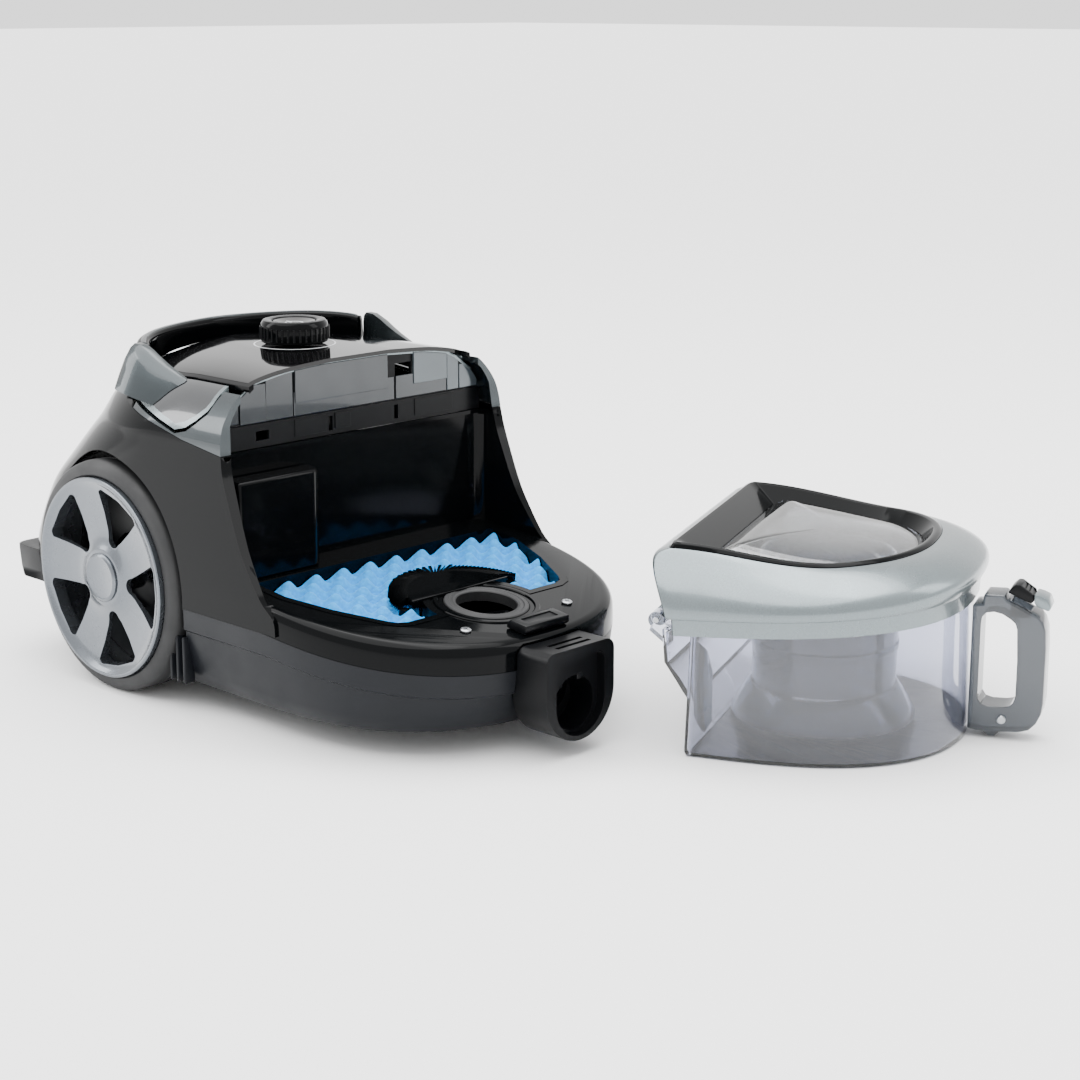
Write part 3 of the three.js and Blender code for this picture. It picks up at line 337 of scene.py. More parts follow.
def tidy(shape: Shape, merge: float = MERGE) -> Shape:
    """Merges doubled corners and turns all faces outwards."""
    bmesh.ops.remove_doubles(shape, verts=shape.verts, dist=merge)
    bmesh.ops.dissolve_degenerate(shape, edges=shape.edges, dist=merge)
    bmesh.ops.recalc_face_normals(shape, faces=shape.faces)
    return shape


def swept(around: int, along: int, place: Callable[[int, int], Sequence[float]]) -> Shape:
    """Closed tube with capped ends.

    Args:
        around: Number of corners round the outline.
        along: Number of steps between the first and the last outline.
        place: Gives the place of corner i of outline j.

    Returns:
        The closed shape.
    """
    shape = bmesh.new()
    bmesh.ops.create_grid(shape, x_segments=around, y_segments=along, size=0.5)
    for corner in shape.verts:
        i = round((corner.co.x + 0.5) * around) % around
        corner.co = place(i, round((corner.co.y + 0.5) * along))
    bmesh.ops.remove_doubles(shape, verts=shape.verts, dist=MERGE)
    caps = bmesh.ops.holes_fill(shape, edges=[e for e in shape.edges if e.is_boundary], sides=0)
    bmesh.ops.triangulate(shape, faces=caps["faces"])
    return tidy(shape)


def prism(points: Sequence[Point], low: float, high: float, axis: str = "z") -> Shape:
    """Straight extrusion of an outline.

    Args:
        points: Outline. Its plane is x and y for axis z, x and z for axis y, y and z for axis x.
        low: Where it starts along the axis.
        high: Where it ends along the axis.
        axis: Axis it is drawn along.

    Returns:
        The closed shape.
    """
    shape = bmesh.new()
    corners = [shape.verts.new((x, y, low)) for x, y in points]
    bmesh.ops.contextual_create(shape, geom=corners)
    drawn = bmesh.ops.extrude_face_region(shape, geom=list(shape.faces))
    moved = [item for item in drawn["geom"] if isinstance(item, bmesh.types.BMVert)]
    bmesh.ops.translate(shape, verts=moved, vec=(0, 0, high - low))
    if axis == "x":
        turn = Matrix(((0, 0, 1), (1, 0, 0), (0, 1, 0)))
        bmesh.ops.transform(shape, matrix=turn.to_4x4(), verts=shape.verts)
    if axis == "y":
        turn = Matrix(((1, 0, 0), (0, 0, 1), (0, 1, 0)))
        bmesh.ops.transform(shape, matrix=turn.to_4x4(), verts=shape.verts)
    return tidy(shape)


def block(x0: float, x1: float, y0: float, y1: float, z0: float, z1: float) -> Shape:
    """Block between two opposite corners."""
    shape = bmesh.new()
    bmesh.ops.create_cube(shape, size=1.0)
    bmesh.ops.scale(shape, vec=(x1 - x0, y1 - y0, z1 - z0), verts=shape.verts)
    bmesh.ops.translate(shape, vec=((x0 + x1) / 2, (y0 + y1) / 2, (z0 + z1) / 2), verts=shape.verts)
    return shape


def turned(profile: Sequence[Point], steps: int = 64) -> Shape:
    """Spins a profile about the Z axis.

    Args:
        profile: Radius and height of each corner. It is closed unless it starts on the axis.
        steps: Facets in the full turn.

    Returns:
        The closed shape.
    """
    shape = bmesh.new()
    corners = [shape.verts.new((radius, 0, height)) for radius, height in profile]
    pairs = list(zip(corners, corners[1:]))
    if profile[0][0] > MERGE:
        pairs.append((corners[-1], corners[0]))
    edges = [shape.edges.new(pair) for pair in pairs]
    bmesh.ops.spin(shape, geom=corners + edges, cent=(0, 0, 0), axis=(0, 0, 1), dvec=(0, 0, 0),
                   angle=math.tau, steps=steps, use_merge=True, use_duplicate=False)
    return tidy(shape)


def rod(axis: str, radius: float, start: float, end: float, at: Point, steps: int = 48) -> Shape:
    """Round bar along an axis.

    Args:
        axis: x, y or z.
        radius: Radius.
        start: Where it starts along the axis.
        end: Where it ends.
        at: Its place on the two other axes, in their order.
        steps: Facets.

    Returns:
        The closed shape.
    """
    return prism(arc(at[0], at[1], radius, 0, 360 - 360 / steps, steps - 1), start, end, axis)


def moved(shape: Shape, matrix: Matrix) -> Shape:
    """Moves a shape by a matrix, with its faces kept outwards."""
    bmesh.ops.transform(shape, matrix=matrix, verts=shape.verts)
    if matrix.determinant() < 0:
        bmesh.ops.reverse_faces(shape, faces=shape.faces)
    return shape


def eased(shape: Shape, width: float, segments: int = 2, angle: float = 35) -> Shape:
    """Rounds the edges that are sharper than an angle in degrees."""
    limit = math.radians(angle)
    edges = [e for e in shape.edges if len(e.link_faces) == 2 and e.calc_face_angle(0) > limit]
    bmesh.ops.bevel(shape, geom=edges, offset=width, offset_type="OFFSET", segments=segments,
                    profile=0.5, affect="EDGES", material=-1, clamp_overlap=True)
    return shape


class Cut(Enum):
    """What a tool does to a shape."""

    AWAY = "DIFFERENCE"
    JOIN = "UNION"
    COMMON = "INTERSECT"


def carved(base: Shape, how: Cut, *tools: Shape) -> Shape:
    """Cuts, joins or intersects a shape with tools, one after another.

    Args:
        base: Closed shape to start with. It is used up.
        how: What each tool does.
        *tools: Closed shapes. They are used up.

    Returns:
        The new closed shape.
    """
    objects = []
    for shape in (base, *tools):
        mesh = bpy.data.meshes.new("shape")
        shape.to_mesh(mesh)
        shape.free()
        held = bpy.data.objects.new("shape", mesh)
        bpy.context.scene.collection.objects.link(held)
        objects.append(held)
    for tool in objects[1:]:
        step = objects[0].modifiers.new("cut", "BOOLEAN")
        step.solver = "EXACT"
        step.operation = how.value
        step.object = tool
    bpy.context.view_layer.update()
    seen = objects[0].evaluated_get(bpy.context.evaluated_depsgraph_get())
    result = bmesh.new()
    result.from_mesh(seen.to_mesh())
    seen.to_mesh_clear()
    for held in objects:
        mesh = held.data
        bpy.data.objects.remove(held)
        bpy.data.meshes.remove(mesh)
    bmesh.ops.remove_doubles(result, verts=result.verts, dist=MERGE)
    return result


@dataclass(frozen=True)
class Place:
    """Where a sub-assembly's own millimetres lie in the part's frame.

    Attributes:
        origin: Its origin in metres.
        turn: Its turn about the Z axis in radians.
    """

    origin: Vector
    turn: float = 0.0

    def matrix(self) -> Matrix:
        """Matrix from the sub-assembly's millimetres to the part's metres."""
        return Matrix.Translation(self.origin) @ Matrix.Rotation(self.turn, 4, "Z") @ Matrix.Scale(MM, 4)


def centre(name: str) -> Vector:
    """Middle of a CAD node's box, in metres."""
    low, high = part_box(name)
    return (Vector(low) + Vector(high)) / 2


def machine_place() -> Place:
    """Place of the machine: under the middle of its two tyres, on the floor."""
    middle = (centre("tyre_right") + centre("tyre_left")) / 2
    return Place(Vector((middle.x, middle.y, 0)))


def bin_place() -> Place:
    """Place of the dust bin, found from its two hinge pins."""
    right, left = centre("hinge_pin_right"), centre("hinge_pin_left")
    across = (left - right).normalized()
    along = Vector((across.y, -across.x, 0))
    origin = (left + right) / 2 + along * 27 * MM
    return Place(Vector((origin.x, origin.y, 0)), math.atan2(along.y, along.x))


MACHINE = machine_place()
BIN = bin_place()


def piece(name: str, shape: Shape, place: Place, finish: Finish, body: str,
          replaces: Sequence[str] = (), sharp: float = 32, bevel: float = 0.0) -> bpy.types.Object:
    """Sets a finished shape into the part's frame as a named piece.

    Args:
        name: Name of the piece.
        shape: Closed shape in the sub-assembly's millimetres. It is used up.
        place: The sub-assembly's place.
        finish: Its finish.
        body: Body that it moves with.
        replaces: CAD nodes that it stands for.
        sharp: Angle in degrees past which an edge stays sharp.
        bevel: Width in millimetres of a rounding along sharp edges.

    Returns:
        The piece's object.
    """
    moved(shape, place.matrix())
    mesh = bpy.data.meshes.new(name)
    shape.to_mesh(mesh)
    shape.free()
    mesh.polygons.foreach_set("use_smooth", [True] * len(mesh.polygons))
    mesh.set_sharp_from_angle(angle=math.radians(sharp))
    mesh.materials.append(finish.material())
    made = bpy.data.objects.new(name, mesh)
    bpy.context.scene.collection.objects.link(made)
    if bevel:
        rounding = made.modifiers.new("edges", "BEVEL")
        rounding.width = bevel * MM
        rounding.segments = 2
        rounding.limit_method = "ANGLE"
        rounding.angle_limit = math.radians(max(sharp, 32))
        rounding.use_clamp_overlap = True
        rounding.harden_normals = False
    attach(made, body)
    if replaces:
        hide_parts(*replaces)
    LOG.info("%s: %d faces on %s", name, len(mesh.polygons), body)
    return made


def dress(finish: Finish, *nodes: str) -> None:
    """Gives CAD nodes a finish."""
    for name in nodes:
        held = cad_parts[name]
        held.data.materials.clear()
        held.data.materials.append(finish.material())


# ------------------------------------------------------------------------------- machine form


@dataclass
class Form:
    """Outer form of the machine, in its own millimetres.

    Attributes:
        rows: Height, half width, rear x, x of the widest point, power of the rear curve, front x.
        pan_rows: Height, or height below the seam when negative, growth of the plan, rear x.
        seam: Height of the joint between floor pan and black shell.
        hole: x and z of the deck's air hole.
        slope: Fall of the deck per millimetre.
        bend: x where the seam starts to fall.
        nose_start: x where the nose curve starts.
        nose_length: Length of the nose.
        nose_half: Half width of the nose.
        nose_powers: Powers of the nose curve along and across.
        wall: Thickness of the shell.
    """

    rows: tuple = (
        (84, 143, -147, 0, 4, 205), (96, 143, -148, 0, 4, 203), (108, 143, -148, 5, 3.8, 189),
        (134, 142.5, -145, 12, 3.2, 171), (150, 142, -141, 20, 2.9, 163),
        (168, 141.5, -132, 32, 2.5, 156), (189, 141, -117, 45, 2.2, 148.5),
        (204, 140, -105, 55, 2.05, 145.5), (214, 139, -97, 60, 2, 144.5),
        (225, 136, -90, 72, 2, 143.5), (235, 129.5, -82, 84, 2, 143), (244, 121, -66, 90, 2, 142.5),
        (250, 111.5, -48, 90, 2, 142), (255, 97, -33, 86, 2, 141), (259, 72, -22, 80, 2, 139),
        (261.6, 32, -10, 70, 2, 137),
    )
    pan_rows: tuple = (
        (20, -13, -128), (20.6, -11, -130), (22.5, -9, -133), (34, -3, -138), (-19, 3, -143),
        (-17, 5.5, -145), (-0.4, 7.5, -147),
    )
    seam: float = 84
    hole: Point = (271.8, 93.8)
    slope: float = 0.131
    bend: float = 190
    nose_start: float = 150
    nose_length: float = 183
    nose_half: float = 135
    nose_powers: Point = (3, 2.2)
    wall: float = 3

    def deck_height(self, x: float) -> float:
        """Height of the deck at x."""
        return self.hole[1] - self.slope * (x - self.hole[0])

    def seam_height(self, x: float) -> float:
        """Height of the joint between floor pan and shell at x."""
        return self.seam - self.slope * max(0.0, x - self.bend)

    def nose_point(self, across: float, along: float, growth: float) -> Point:
        """Point of the nose curve for a point of the unit circle."""
        return (
            self.nose_start + (self.nose_length + growth) * power(along, 2 / self.nose_powers[0]),
            (self.nose_half + growth) * power(across, 2 / self.nose_powers[1]),
        )

    def body(self, inset: float = 0.0, drop: float = 0.0, steps: int = 4) -> Shape:
        """Shell behind the deck as one solid.

        Args:
            inset: How far it is shrunk all round.
            drop: How far its bottom is moved down.
            steps: Rows drawn between two rows of the table.

        Returns:
            The solid.
        """
        rows = smooth_rows(self.rows, steps)
        outline = arc(0, 0, 1, 90, 270, 72)[:-1] + split([(0, -1), (1, -1), (1, 1), (0, 1)], 8)

        def place(i: int, j: int) -> tuple[float, float, float]:
            x, y = outline[i]
            height, half, rear, widest, curve, front = rows[j]
            z = height - inset * max(0.0, (height - 204) / 57.6) - (drop if j == 0 else 0)
            wide = half - inset
            if x > 0:
                return widest + (front - widest) * x, y * wide, z
            return (widest + (widest - rear - inset) * power(x, 2 / curve), wide * power(y, 2 / curve), z)

        return swept(len(outline), len(rows) - 1, place)

    def deck(self, inset: float = 0.0) -> Shape:
        """Nose of the shell, up to the sloping deck, shrunk by an inset."""
        edge = [
            (0, 7.5), (0.35, 7.5), (0.62, 7.2), (0.78, 6.4), (0.88, 5.2), (0.95, 3.4), (0.985, 1.8), (1, 0),
        ]
        outline = arc(0, 0, 1, -90, 90, 96) + split([(0, 1), (-1, 1), (-1, -1), (0, -1)], 6)[1:]

        def place(i: int, j: int) -> tuple[float, float, float]:
            share, growth = edge[j]
            x, y = outline[i]
            if x < -1e-9:
                px, py = self.nose_start + 70 * x, y * (self.nose_half + growth - inset)
            else:
                px, py = self.nose_point(y, max(0.0, x), growth - inset)
            low = self.seam_height(px)
            return px, py, low + (self.deck_height(px) - inset - low) * share

        return swept(len(outline), len(edge) - 1, place)

    def pan(self, inset: float = 0.0) -> Shape:
        """Floor pan as one solid, shrunk by an inset and then open at the top."""
        ends = arc(0, 0, 1, -90, 90, 80)
        outline = [(x + 1, y) for x, y in ends] + split([(1, 1), (-1, 1)], 16)[1:]
        outline += [(-x - 1, -y) for x, y in ends] + split([(-1, -1), (1, -1)], 16)[1:]

        def place(i: int, j: int) -> tuple[float, float, float]:
            height, growth, rear = self.pan_rows[j]
            grow = growth - inset
            wide = self.nose_half + grow
            x, y = outline[i]
            px, py = self.nose_start * (x + 1) / 2, y * wide
            if x > 1:
                px, py = self.nose_point(y, x - 1, grow)
            if x < -1:
                px, py = (-rear - inset) * power(x + 1, 0.5), wide * power(y, 0.5)
            z = height + (inset if j == 0 else 0) if height > 0 else self.seam_height(px) + height
            return px, py, z + (self.wall if j == len(self.pan_rows) - 1 and inset > 0 else 0)

        return swept(len(outline), len(self.pan_rows) - 1, place)

    def on_deck(self) -> Matrix:
        """Matrix from the deck's own plane, with its origin at the air hole, to the machine."""
        return (Matrix.Translation((self.hole[0], 0, self.hole[1]))
                @ Matrix.Rotation(math.atan(self.slope), 4, "Y"))


FORM = Form()
COVER_PLAN = (
    (135.5, 105.5), (60, 105.5), (45, 103.5), (30, 97.5), (18, 90), (8, 81.5), (-2, 68), (-12, 53.5),
)
CASSETTE = (
    (-111, -125), (-85, -124), (-46, -111), (-8, -92), (0, -86), (4, -76),
    (4, 76), (0, 86), (-8, 92), (-46, 111), (-85, 124), (-111, 125),
    *arc(-114, 115, 10, 100, 170, 6), *arc(-114, -115, 10, 190, 260, 6),
)


def mirrored(points: Sequence[Point]) -> list[Point]:
    """Closed outline from one half of it and the same half on the other side of the x axis."""
    return [(x, -y) for x, y in points] + [(x, y) for x, y in reversed(points)]


def grown(points: Sequence[Point], offset: float) -> list[Point]:
    """Anticlockwise outline with every edge moved out by an offset."""
    made = []
    for i, (x, y) in enumerate(points):
        ax, ay = points[i - 1]
        bx, by = points[(i + 1) % len(points)]
        before = Vector((y - ay, ax - x)).normalized()
        after = Vector((by - y, x - bx)).normalized()
        reach = offset / (1 + before.dot(after))
        made.append((x + (before.x + after.x) * reach, y + (before.y + after.y) * reach))
    return made


def pocket(grow: float = 0.0) -> Shape:
    """Space that the bin stands in when docked, grown all round."""
    corner, back, half = 14, 129 - grow, 131 + grow
    plan = arc(back + corner, -half + corner, corner, 270, 180, 12)
    plan += arc(back + corner, half - corner, corner, 180, 90, 12)
    plan += [(230, half + 14), (400, half + 14), (400, -half - 14), (230, -half - 14)]

    def place(i: int, j: int) -> tuple[float, float, float]:
        x, y = plan[i]
        return x, y, (199.5 + grow) if j else FORM.deck_height(x) - grow

    return swept(len(plan), 1, place)


def pocket_floor() -> Shape:
    """Everything under the deck's surface, behind the air hole."""
    return prism([(100, 0), (240, 0), (240, FORM.deck_height(240)), (100, FORM.deck_height(100))],
                 -140, 140, "y")


def mouth() -> Shape:
    """Room above the pocket, in front of the strips and under the bin's lid."""
    arch = [(-131, 198.5), (131, 198.5), (129, 225), (126, 231), (121, 238), (105.5, 249),
            (-105.5, 249), (-121, 238), (-126, 231), (-129, 225)]
    return carved(prism(arch, 132.9, 300, "x"), Cut.JOIN, block(135.5, 300, -105.5, 105.5, 240, 300))


def wells(grow: float = 0.0) -> list[Shape]:
    """Both wheel wells."""
    inner = 107 - grow
    return [rod("y", 97 + grow, *sorted((side * inner, side * 160)), (0, 90.4), 96) for side in (-1, 1)]


def top_region(grow: float = 0.0) -> Shape:
    """Region of the body given to the cover, silver frame and pedals."""
    side = [(170, 204.6 - grow), (148, 204.6 - grow), (99, 211 - grow), (57, 219.5 - grow),
            (10 - grow, 228.5 - grow), (-1 - grow, 236), (-3 - grow, 246), (-3 - grow, 300), (170, 300)]
    between = 110.1 - grow
    lanes = carved(prism(side, -170, 170, "y"), Cut.AWAY, block(-60, 200, -between, between, 150, 310))
    plan = [(x + math.copysign(grow, x), y + grow) for x, y in COVER_PLAN]
    return carved(lanes, Cut.JOIN, prism(mirrored(plan), 236, 300))


def finger_recess(grow: float = 0.0) -> Shape:
    """Recess for the fingers under the bow."""
    back, front, half, corner = -60 - grow, -18 + grow, 70 + grow, 12 + grow
    plan = arc(front - corner, -half + corner, corner, 270, 360, 8)
    plan += arc(front - corner, half - corner, corner, 0, 90, 8)
    plan += arc(back + corner, half - corner, corner, 90, 180, 8)
    plan += arc(back + corner, -half + corner, corner, 180, 270, 8)
    return prism(plan, 226 - grow, 300)


def cassette(offset: float, low: float, high: float) -> Shape:
    """Filter cassette as one solid in the deck's own plane, grown by an offset."""
    return carved(prism(grown(CASSETTE, offset), low, high), Cut.AWAY,
                  rod("z", 41 - offset, -90, 90, (0, 0), 80))


def socket_outline(grow: float = 0.0) -> Shape:
    """Outside of the hose socket: square shoulders above, round below."""
    wide, top = 34.5 + grow, 81 + grow
    outline = arc(0, 46.5, wide, 180, 360, 40)
    outline += arc(wide - 8, top - 8, 8, 0, 90, 8) + arc(-wide + 8, top - 8, 8, 90, 180, 8)
    return prism(outline, 333 - grow, 366.5 + 20 * min(1, grow), "x")


# ------------------------------------------------------------------------------- machine shells


@dataclass
class MachineShell:
    """Moulded shells of the machine: floor pan, black shell, bumper and outlet grille.

    Attributes:
        gap: Clearance round pieces that sit in the shell.
        rib_places: x of the small ribs ahead of each wheel.
        rib_half: Half the thickness of those ribs.
    """

    gap: float = 0.4
    rib_places: tuple = (76, 84, 92)
    rib_half: float = 1.6

    def build(self) -> None:
        """Makes and dresses every shell piece."""
        self.upper()
        self.lower()
        self.ribs()
        self.bumper()
        self.rear()

    def upper(self) -> None:
        """Black shell: fenders, arms, pocket and deck, hollow inside."""
        wall = FORM.wall
        outside = carved(FORM.body(), Cut.JOIN, FORM.deck())
        outside = carved(
            outside, Cut.AWAY, pocket(), mouth(), top_region(self.gap), finger_recess(), *wells(),
        )
        inside = carved(FORM.body(wall, 1), Cut.JOIN, FORM.deck(wall), block(60, 190, -120, 120, 82, 100))
        inside = carved(inside, Cut.AWAY, pocket(wall), finger_recess(wall), *wells(wall))
        deck = FORM.on_deck()
        grille = block(-170, -120, -50, 50, 98, 152)
        shell = carved(
            carved(outside, Cut.AWAY, inside), Cut.AWAY,
            moved(cassette(self.gap, -60, 20), deck), moved(rod("z", 32, -30, 30, (0, 0), 72), deck),
            moved(block(43, 58, -15, 15, -20, 20), deck), socket_outline(self.gap), grille,
            rod("x", 7, -170, -120, (80, 112)), rod("y", 6.4, -130, 130, (0, 90.4)),
        )
        piece("black_shell", shell, MACHINE, GLOSS_BLACK, "machine", ["upper_housing"],
              bevel=1.0)

    def lower(self) -> None:
        """Grey floor pan with wheel wells and the castor's recess."""
        wall = FORM.wall

        def recess(grow: float) -> Shape:
            return rod("z", 36 + grow, -20, 42 + grow, (225, 0), 72)

        outside = carved(FORM.pan(), Cut.AWAY, *wells(), recess(0))
        inside = carved(FORM.pan(wall), Cut.AWAY, *wells(wall), recess(wall))
        shell = carved(outside, Cut.AWAY, inside, socket_outline(self.gap), rod("z", 7.4, 20, 70, (225, 0)))
        piece("floor_pan", shell, MACHINE, PAN_GREY, "machine", ["lower_housing"], bevel=0.8)

    def ribs(self) -> None:
        """Three short ribs on each side, just ahead of the wheel."""
        for side, hand in ((-1, "right"), (1, "left")):
            group = merged([
                eased(block(x - self.rib_half, x + self.rib_half, 131, 140.5, 24, 60), 1.2)
                for x in self.rib_places
            ])
            moved(group, Matrix.Diagonal((1, side, 1, 1)))
            piece(f"pan_ribs_{hand}", group, MACHINE, PAN_GREY, "machine")

    def bumper(self) -> None:
        """Bar across the back at the foot of the shell."""
        plan = arc(-135, -113, 14, 180, 250, 12) + [(-110, -126), (-110, 126)]
        plan += arc(-135, 113, 14, 110, 180, 12)
        rows = ((0, 62), (1.5, 63), (4, 70), (6, 84), (7, 87.4), (9, 88))

        def place(i: int, j: int) -> tuple[float, float, float]:
            x, y = plan[i]
            return x - [0, 1.5, 4, 6, 6, 4][j], y, rows[j][1]

        bar = carved(swept(len(plan), len(rows) - 1, place), Cut.AWAY,
                     FORM.pan(-self.gap), FORM.body(-self.gap, 1), *wells(self.gap))
        piece("rear_bar", bar, MACHINE, SATIN_BLACK, "machine", ["rear_bumper"], bevel=0.8)

    def rear(self) -> None:
        """Outlet grille and cord bush at the back."""
        panel = carved(carved(FORM.body(), Cut.AWAY, FORM.body(3, 1)), Cut.COMMON,
                       block(-170, -120, -49.6, 49.6, 98.4, 151.6))
        slots = [block(-170, -100, -42, 42, z, z + 4) for z in range(104, 146, 8)]
        piece("outlet_grille", carved(panel, Cut.AWAY, *slots), MACHINE, SATIN_BLACK, "machine",
              ["exhaust_grille"], bevel=0.5)
        bush = turned([(4, -138), (6.6, -138), (6.6, -148.6), (12, -148.6), (12, -151), (11, -152), (5, -152),
                       (4, -151)], 48)
        moved(bush, Matrix.Translation((0, 80, 112)) @ Matrix.Rotation(math.pi / 2, 4, "Y"))
        piece("cord_bush", bush, MACHINE, RUBBER, "machine", ["cord_inlet"])


# ------------------------------------------------------------------------------- top of the machine


@dataclass
class TopGroup:
    """Cover, silver frame, strips, bow, pedals and controls on top of the machine.

    Attributes:
        knob: x, radius, base and top height of the speed ring.
        lug_rows: x, top height and width factor down the pedal's cap.
    """

    knob: tuple = (60.4, 26.2, 262.8, 281.0)
    lug_rows: tuple = (
        (12, 262, 0.8), (13.2, 267.4, 0.92), (16, 270, 0.97), (24, 269.6, 0.98), (33, 266, 0.95),
        (42, 261.4, 0.88), (52, 257, 0.77), (64, 252.6, 0.62), (76, 248, 0.45),
    )

    def build(self) -> None:
        """Makes and dresses every piece on top."""
        self.cover()
        self.frame_legs()
        self.strip()
        self.bow()
        self.pedals()
        self.controls()

    def cover(self) -> None:
        """Gloss cover with its drawn-down edge."""
        panel = carved(carved(FORM.body(), Cut.AWAY, FORM.body(3, 1)), Cut.COMMON,
                       prism(mirrored(COVER_PLAN), 225, 280))
        inner = [(x + math.copysign(-5, x), y - 5) for x, y in COVER_PLAN]
        rim = carved(prism(mirrored(COVER_PLAN), 225, 280), Cut.AWAY, prism(mirrored(inner), 200, 290),
                     block(126.5, 200, -200, 200, 200, 300))
        skirt = carved(rim, Cut.COMMON, FORM.body(), block(-60, 200, -200, 200, 236.5, 300))
        whole = carved(carved(panel, Cut.JOIN, skirt), Cut.AWAY, rod("z", 5.6, 200, 300, (self.knob[0], 0)))
        piece("gloss_cover", whole, MACHINE, COVER_BLACK, "machine", ["top_cover"], bevel=1.2)

    def frame_legs(self) -> None:
        """Silver leg between each pedal and the pocket's mouth."""
        shell = carved(carved(FORM.body(), Cut.AWAY, FORM.body(3, 1)), Cut.COMMON, top_region())
        around = prism([(124.4, 300), (124.2, 245), (122, 231.4), (113, 223.8), (103, 217.4), (90, 214.2),
                        (56.6, 222.8), (30, 228.6), (10.6, 231.4), (-2, 240), (-20, 300)], -170, 170, "y")
        legs = carved(shell, Cut.AWAY, mouth(), around, block(-60, 155.5, -118, 118, 240, 300),
                      block(-60, 30, -200, 200, 200, 300))
        ties = [block(128, 132.5, *sorted((side * 126, side * 135)), 221, 225) for side in (-1, 1)]
        piece("silver_legs", carved(legs, Cut.JOIN, *ties), MACHINE, GREY_LACQUER, "machine",
              ["silver_frame"], bevel=0.8)

    def strip(self) -> None:
        """Stepped smoky strip round the pocket's mouth, and the dark strip with the bin's slots."""
        arch = [(-128, 221), (-127.5, 226), (-119, 236), (-108, 243.6), (-102, 248), (-95, 251.2),
                (-68, 255.5), (-32, 257.6), (32, 257.6), (68, 255.5), (95, 251.2), (102, 248),
                (108, 243.6), (119, 236), (127.5, 226), (128, 221)]
        tools = [block(120, 140, 40, 57, 233, 249)]
        base = carved(prism(arch, 128, 131.3, "x"), Cut.AWAY, *tools)
        piece("strip_back", base, MACHINE, SATIN_BLACK, "machine", bevel=0.3)
        panels = {
            "a": (-126, -112.5, 223, 232), "b": (-111.5, -88, 222, 241), "c": (-87, -62, 222, 246),
            "d": (-60, 31, 231.5, 249), "e": (-61, 38, 222, 230.5), "f": (58, 93, 231.5, 251),
            "g": (94, 106, 222, 246), "h": (40, 93, 222, 230.5), "i": (107, 126, 222, 232),
        }
        for key, (y0, y1, z0, z1) in panels.items():
            deep = 2.1 if key in "dfb" else 1.2
            slab = prism(arch, 130.9, 131.3 + deep, "x")
            slab = carved(slab, Cut.COMMON, block(120, 140, y0, y1, z0, z1 + 9))
            finish = STRIP_PALE if key in "fgi" else STRIP_SMOKE
            piece(f"strip_panel_{key}", slab, MACHINE, finish, "machine", bevel=0.3)
        lip = carved(prism([(y, z + 1.2) for y, z in arch], 131.6, 132.6, "x"), Cut.AWAY,
                     prism([(y * 0.995, z - 0.8) for y, z in arch], 120, 140, "x"),
                     block(120, 140, -140, 140, 200, 236))
        piece("strip_edge", lip, MACHINE, SILVER_LACQUER, "machine")
        band = prism([(-130, 203), (-129.5, 220.6), (129.5, 220.6), (130, 203)], 128, 131, "x")
        slots = [block(120, 140, 39, 43, 206, 217), block(120, 140, -27, -23, 206, 217),
                 block(120, 140, -96, -84, 208, 215)]
        band = carved(carved(band, Cut.AWAY, *slots), Cut.JOIN, block(130, 132, -21, -6, 207, 219),
                      block(130, 131.6, -60, -30, 206, 219), block(130, 131.6, 60, 100, 206, 219))
        piece("slot_strip", band, MACHINE, SATIN_BLACK, "machine",
              ["lock_strip"], bevel=0.4)

    def bow(self) -> None:
        """Bow that the machine is carried by, round the back of the cover, with a grey strip along its top
        outer edge as a painted highlight.
        """
        half = [(13, 108.5, 258), (5, 104, 259.4), (-6, 94, 260.8), (-18, 77, 262), (-28, 54, 262.6),
                (-35, 28, 263), (-38, 0, 263.2)]
        path = smooth_rows([(x, -y, z) for x, y, z in half] + [(x, y, z) for x, y, z in half[-2::-1]], 5)
        section = [(5.4 * power(c, 0.5), (9.4 if s > 0 else 19.0) * power(s, 0.5))
                   for c, s in arc(0, 0, 1, 0, 345, 23)]

        def place(i: int, j: int) -> tuple[float, float, float]:
            here = Vector(path[j])
            ahead = Vector(path[min(j + 1, len(path) - 1)]) - Vector(path[max(j - 1, 0)])
            out = ahead.cross(Vector((0, 0, 1))).normalized()
            u, v = section[i]
            spot = here + out * (u + 0.16 * v) + Vector((0, 0, v))
            return spot.x, spot.y, spot.z

        whole = swept(len(section), len(path) - 1, place)
        piece("carry_bow", carved(whole, Cut.AWAY, FORM.body(-0.4)), MACHINE, GLOSS_BLACK, "machine",
              ["carry_handle"], bevel=0.6)
        # Thin grey lacquer strip along the bow's top outer edge: a painted highlight where the top edge
        # catches the light, not a separate part.
        highlight_section = [(2.0 * power(c, 0.7), 0.9 * power(s, 0.7)) for c, s in arc(0, 0, 1, 0, 330, 11)]

        def along(i: int, j: int) -> tuple[float, float, float]:
            here = Vector(path[j + 2])
            ahead = Vector(path[j + 3]) - Vector(path[j + 1])
            out = ahead.cross(Vector((0, 0, 1))).normalized()
            u, v = highlight_section[i]
            spot = here + out * (u + 1.5) + Vector((0, 0, v + 9.3))
            return spot.x, spot.y, spot.z

        piece("carry_bow_painted_highlight", swept(len(highlight_section), len(path) - 5, along), MACHINE, GREY_LACQUER, "machine")

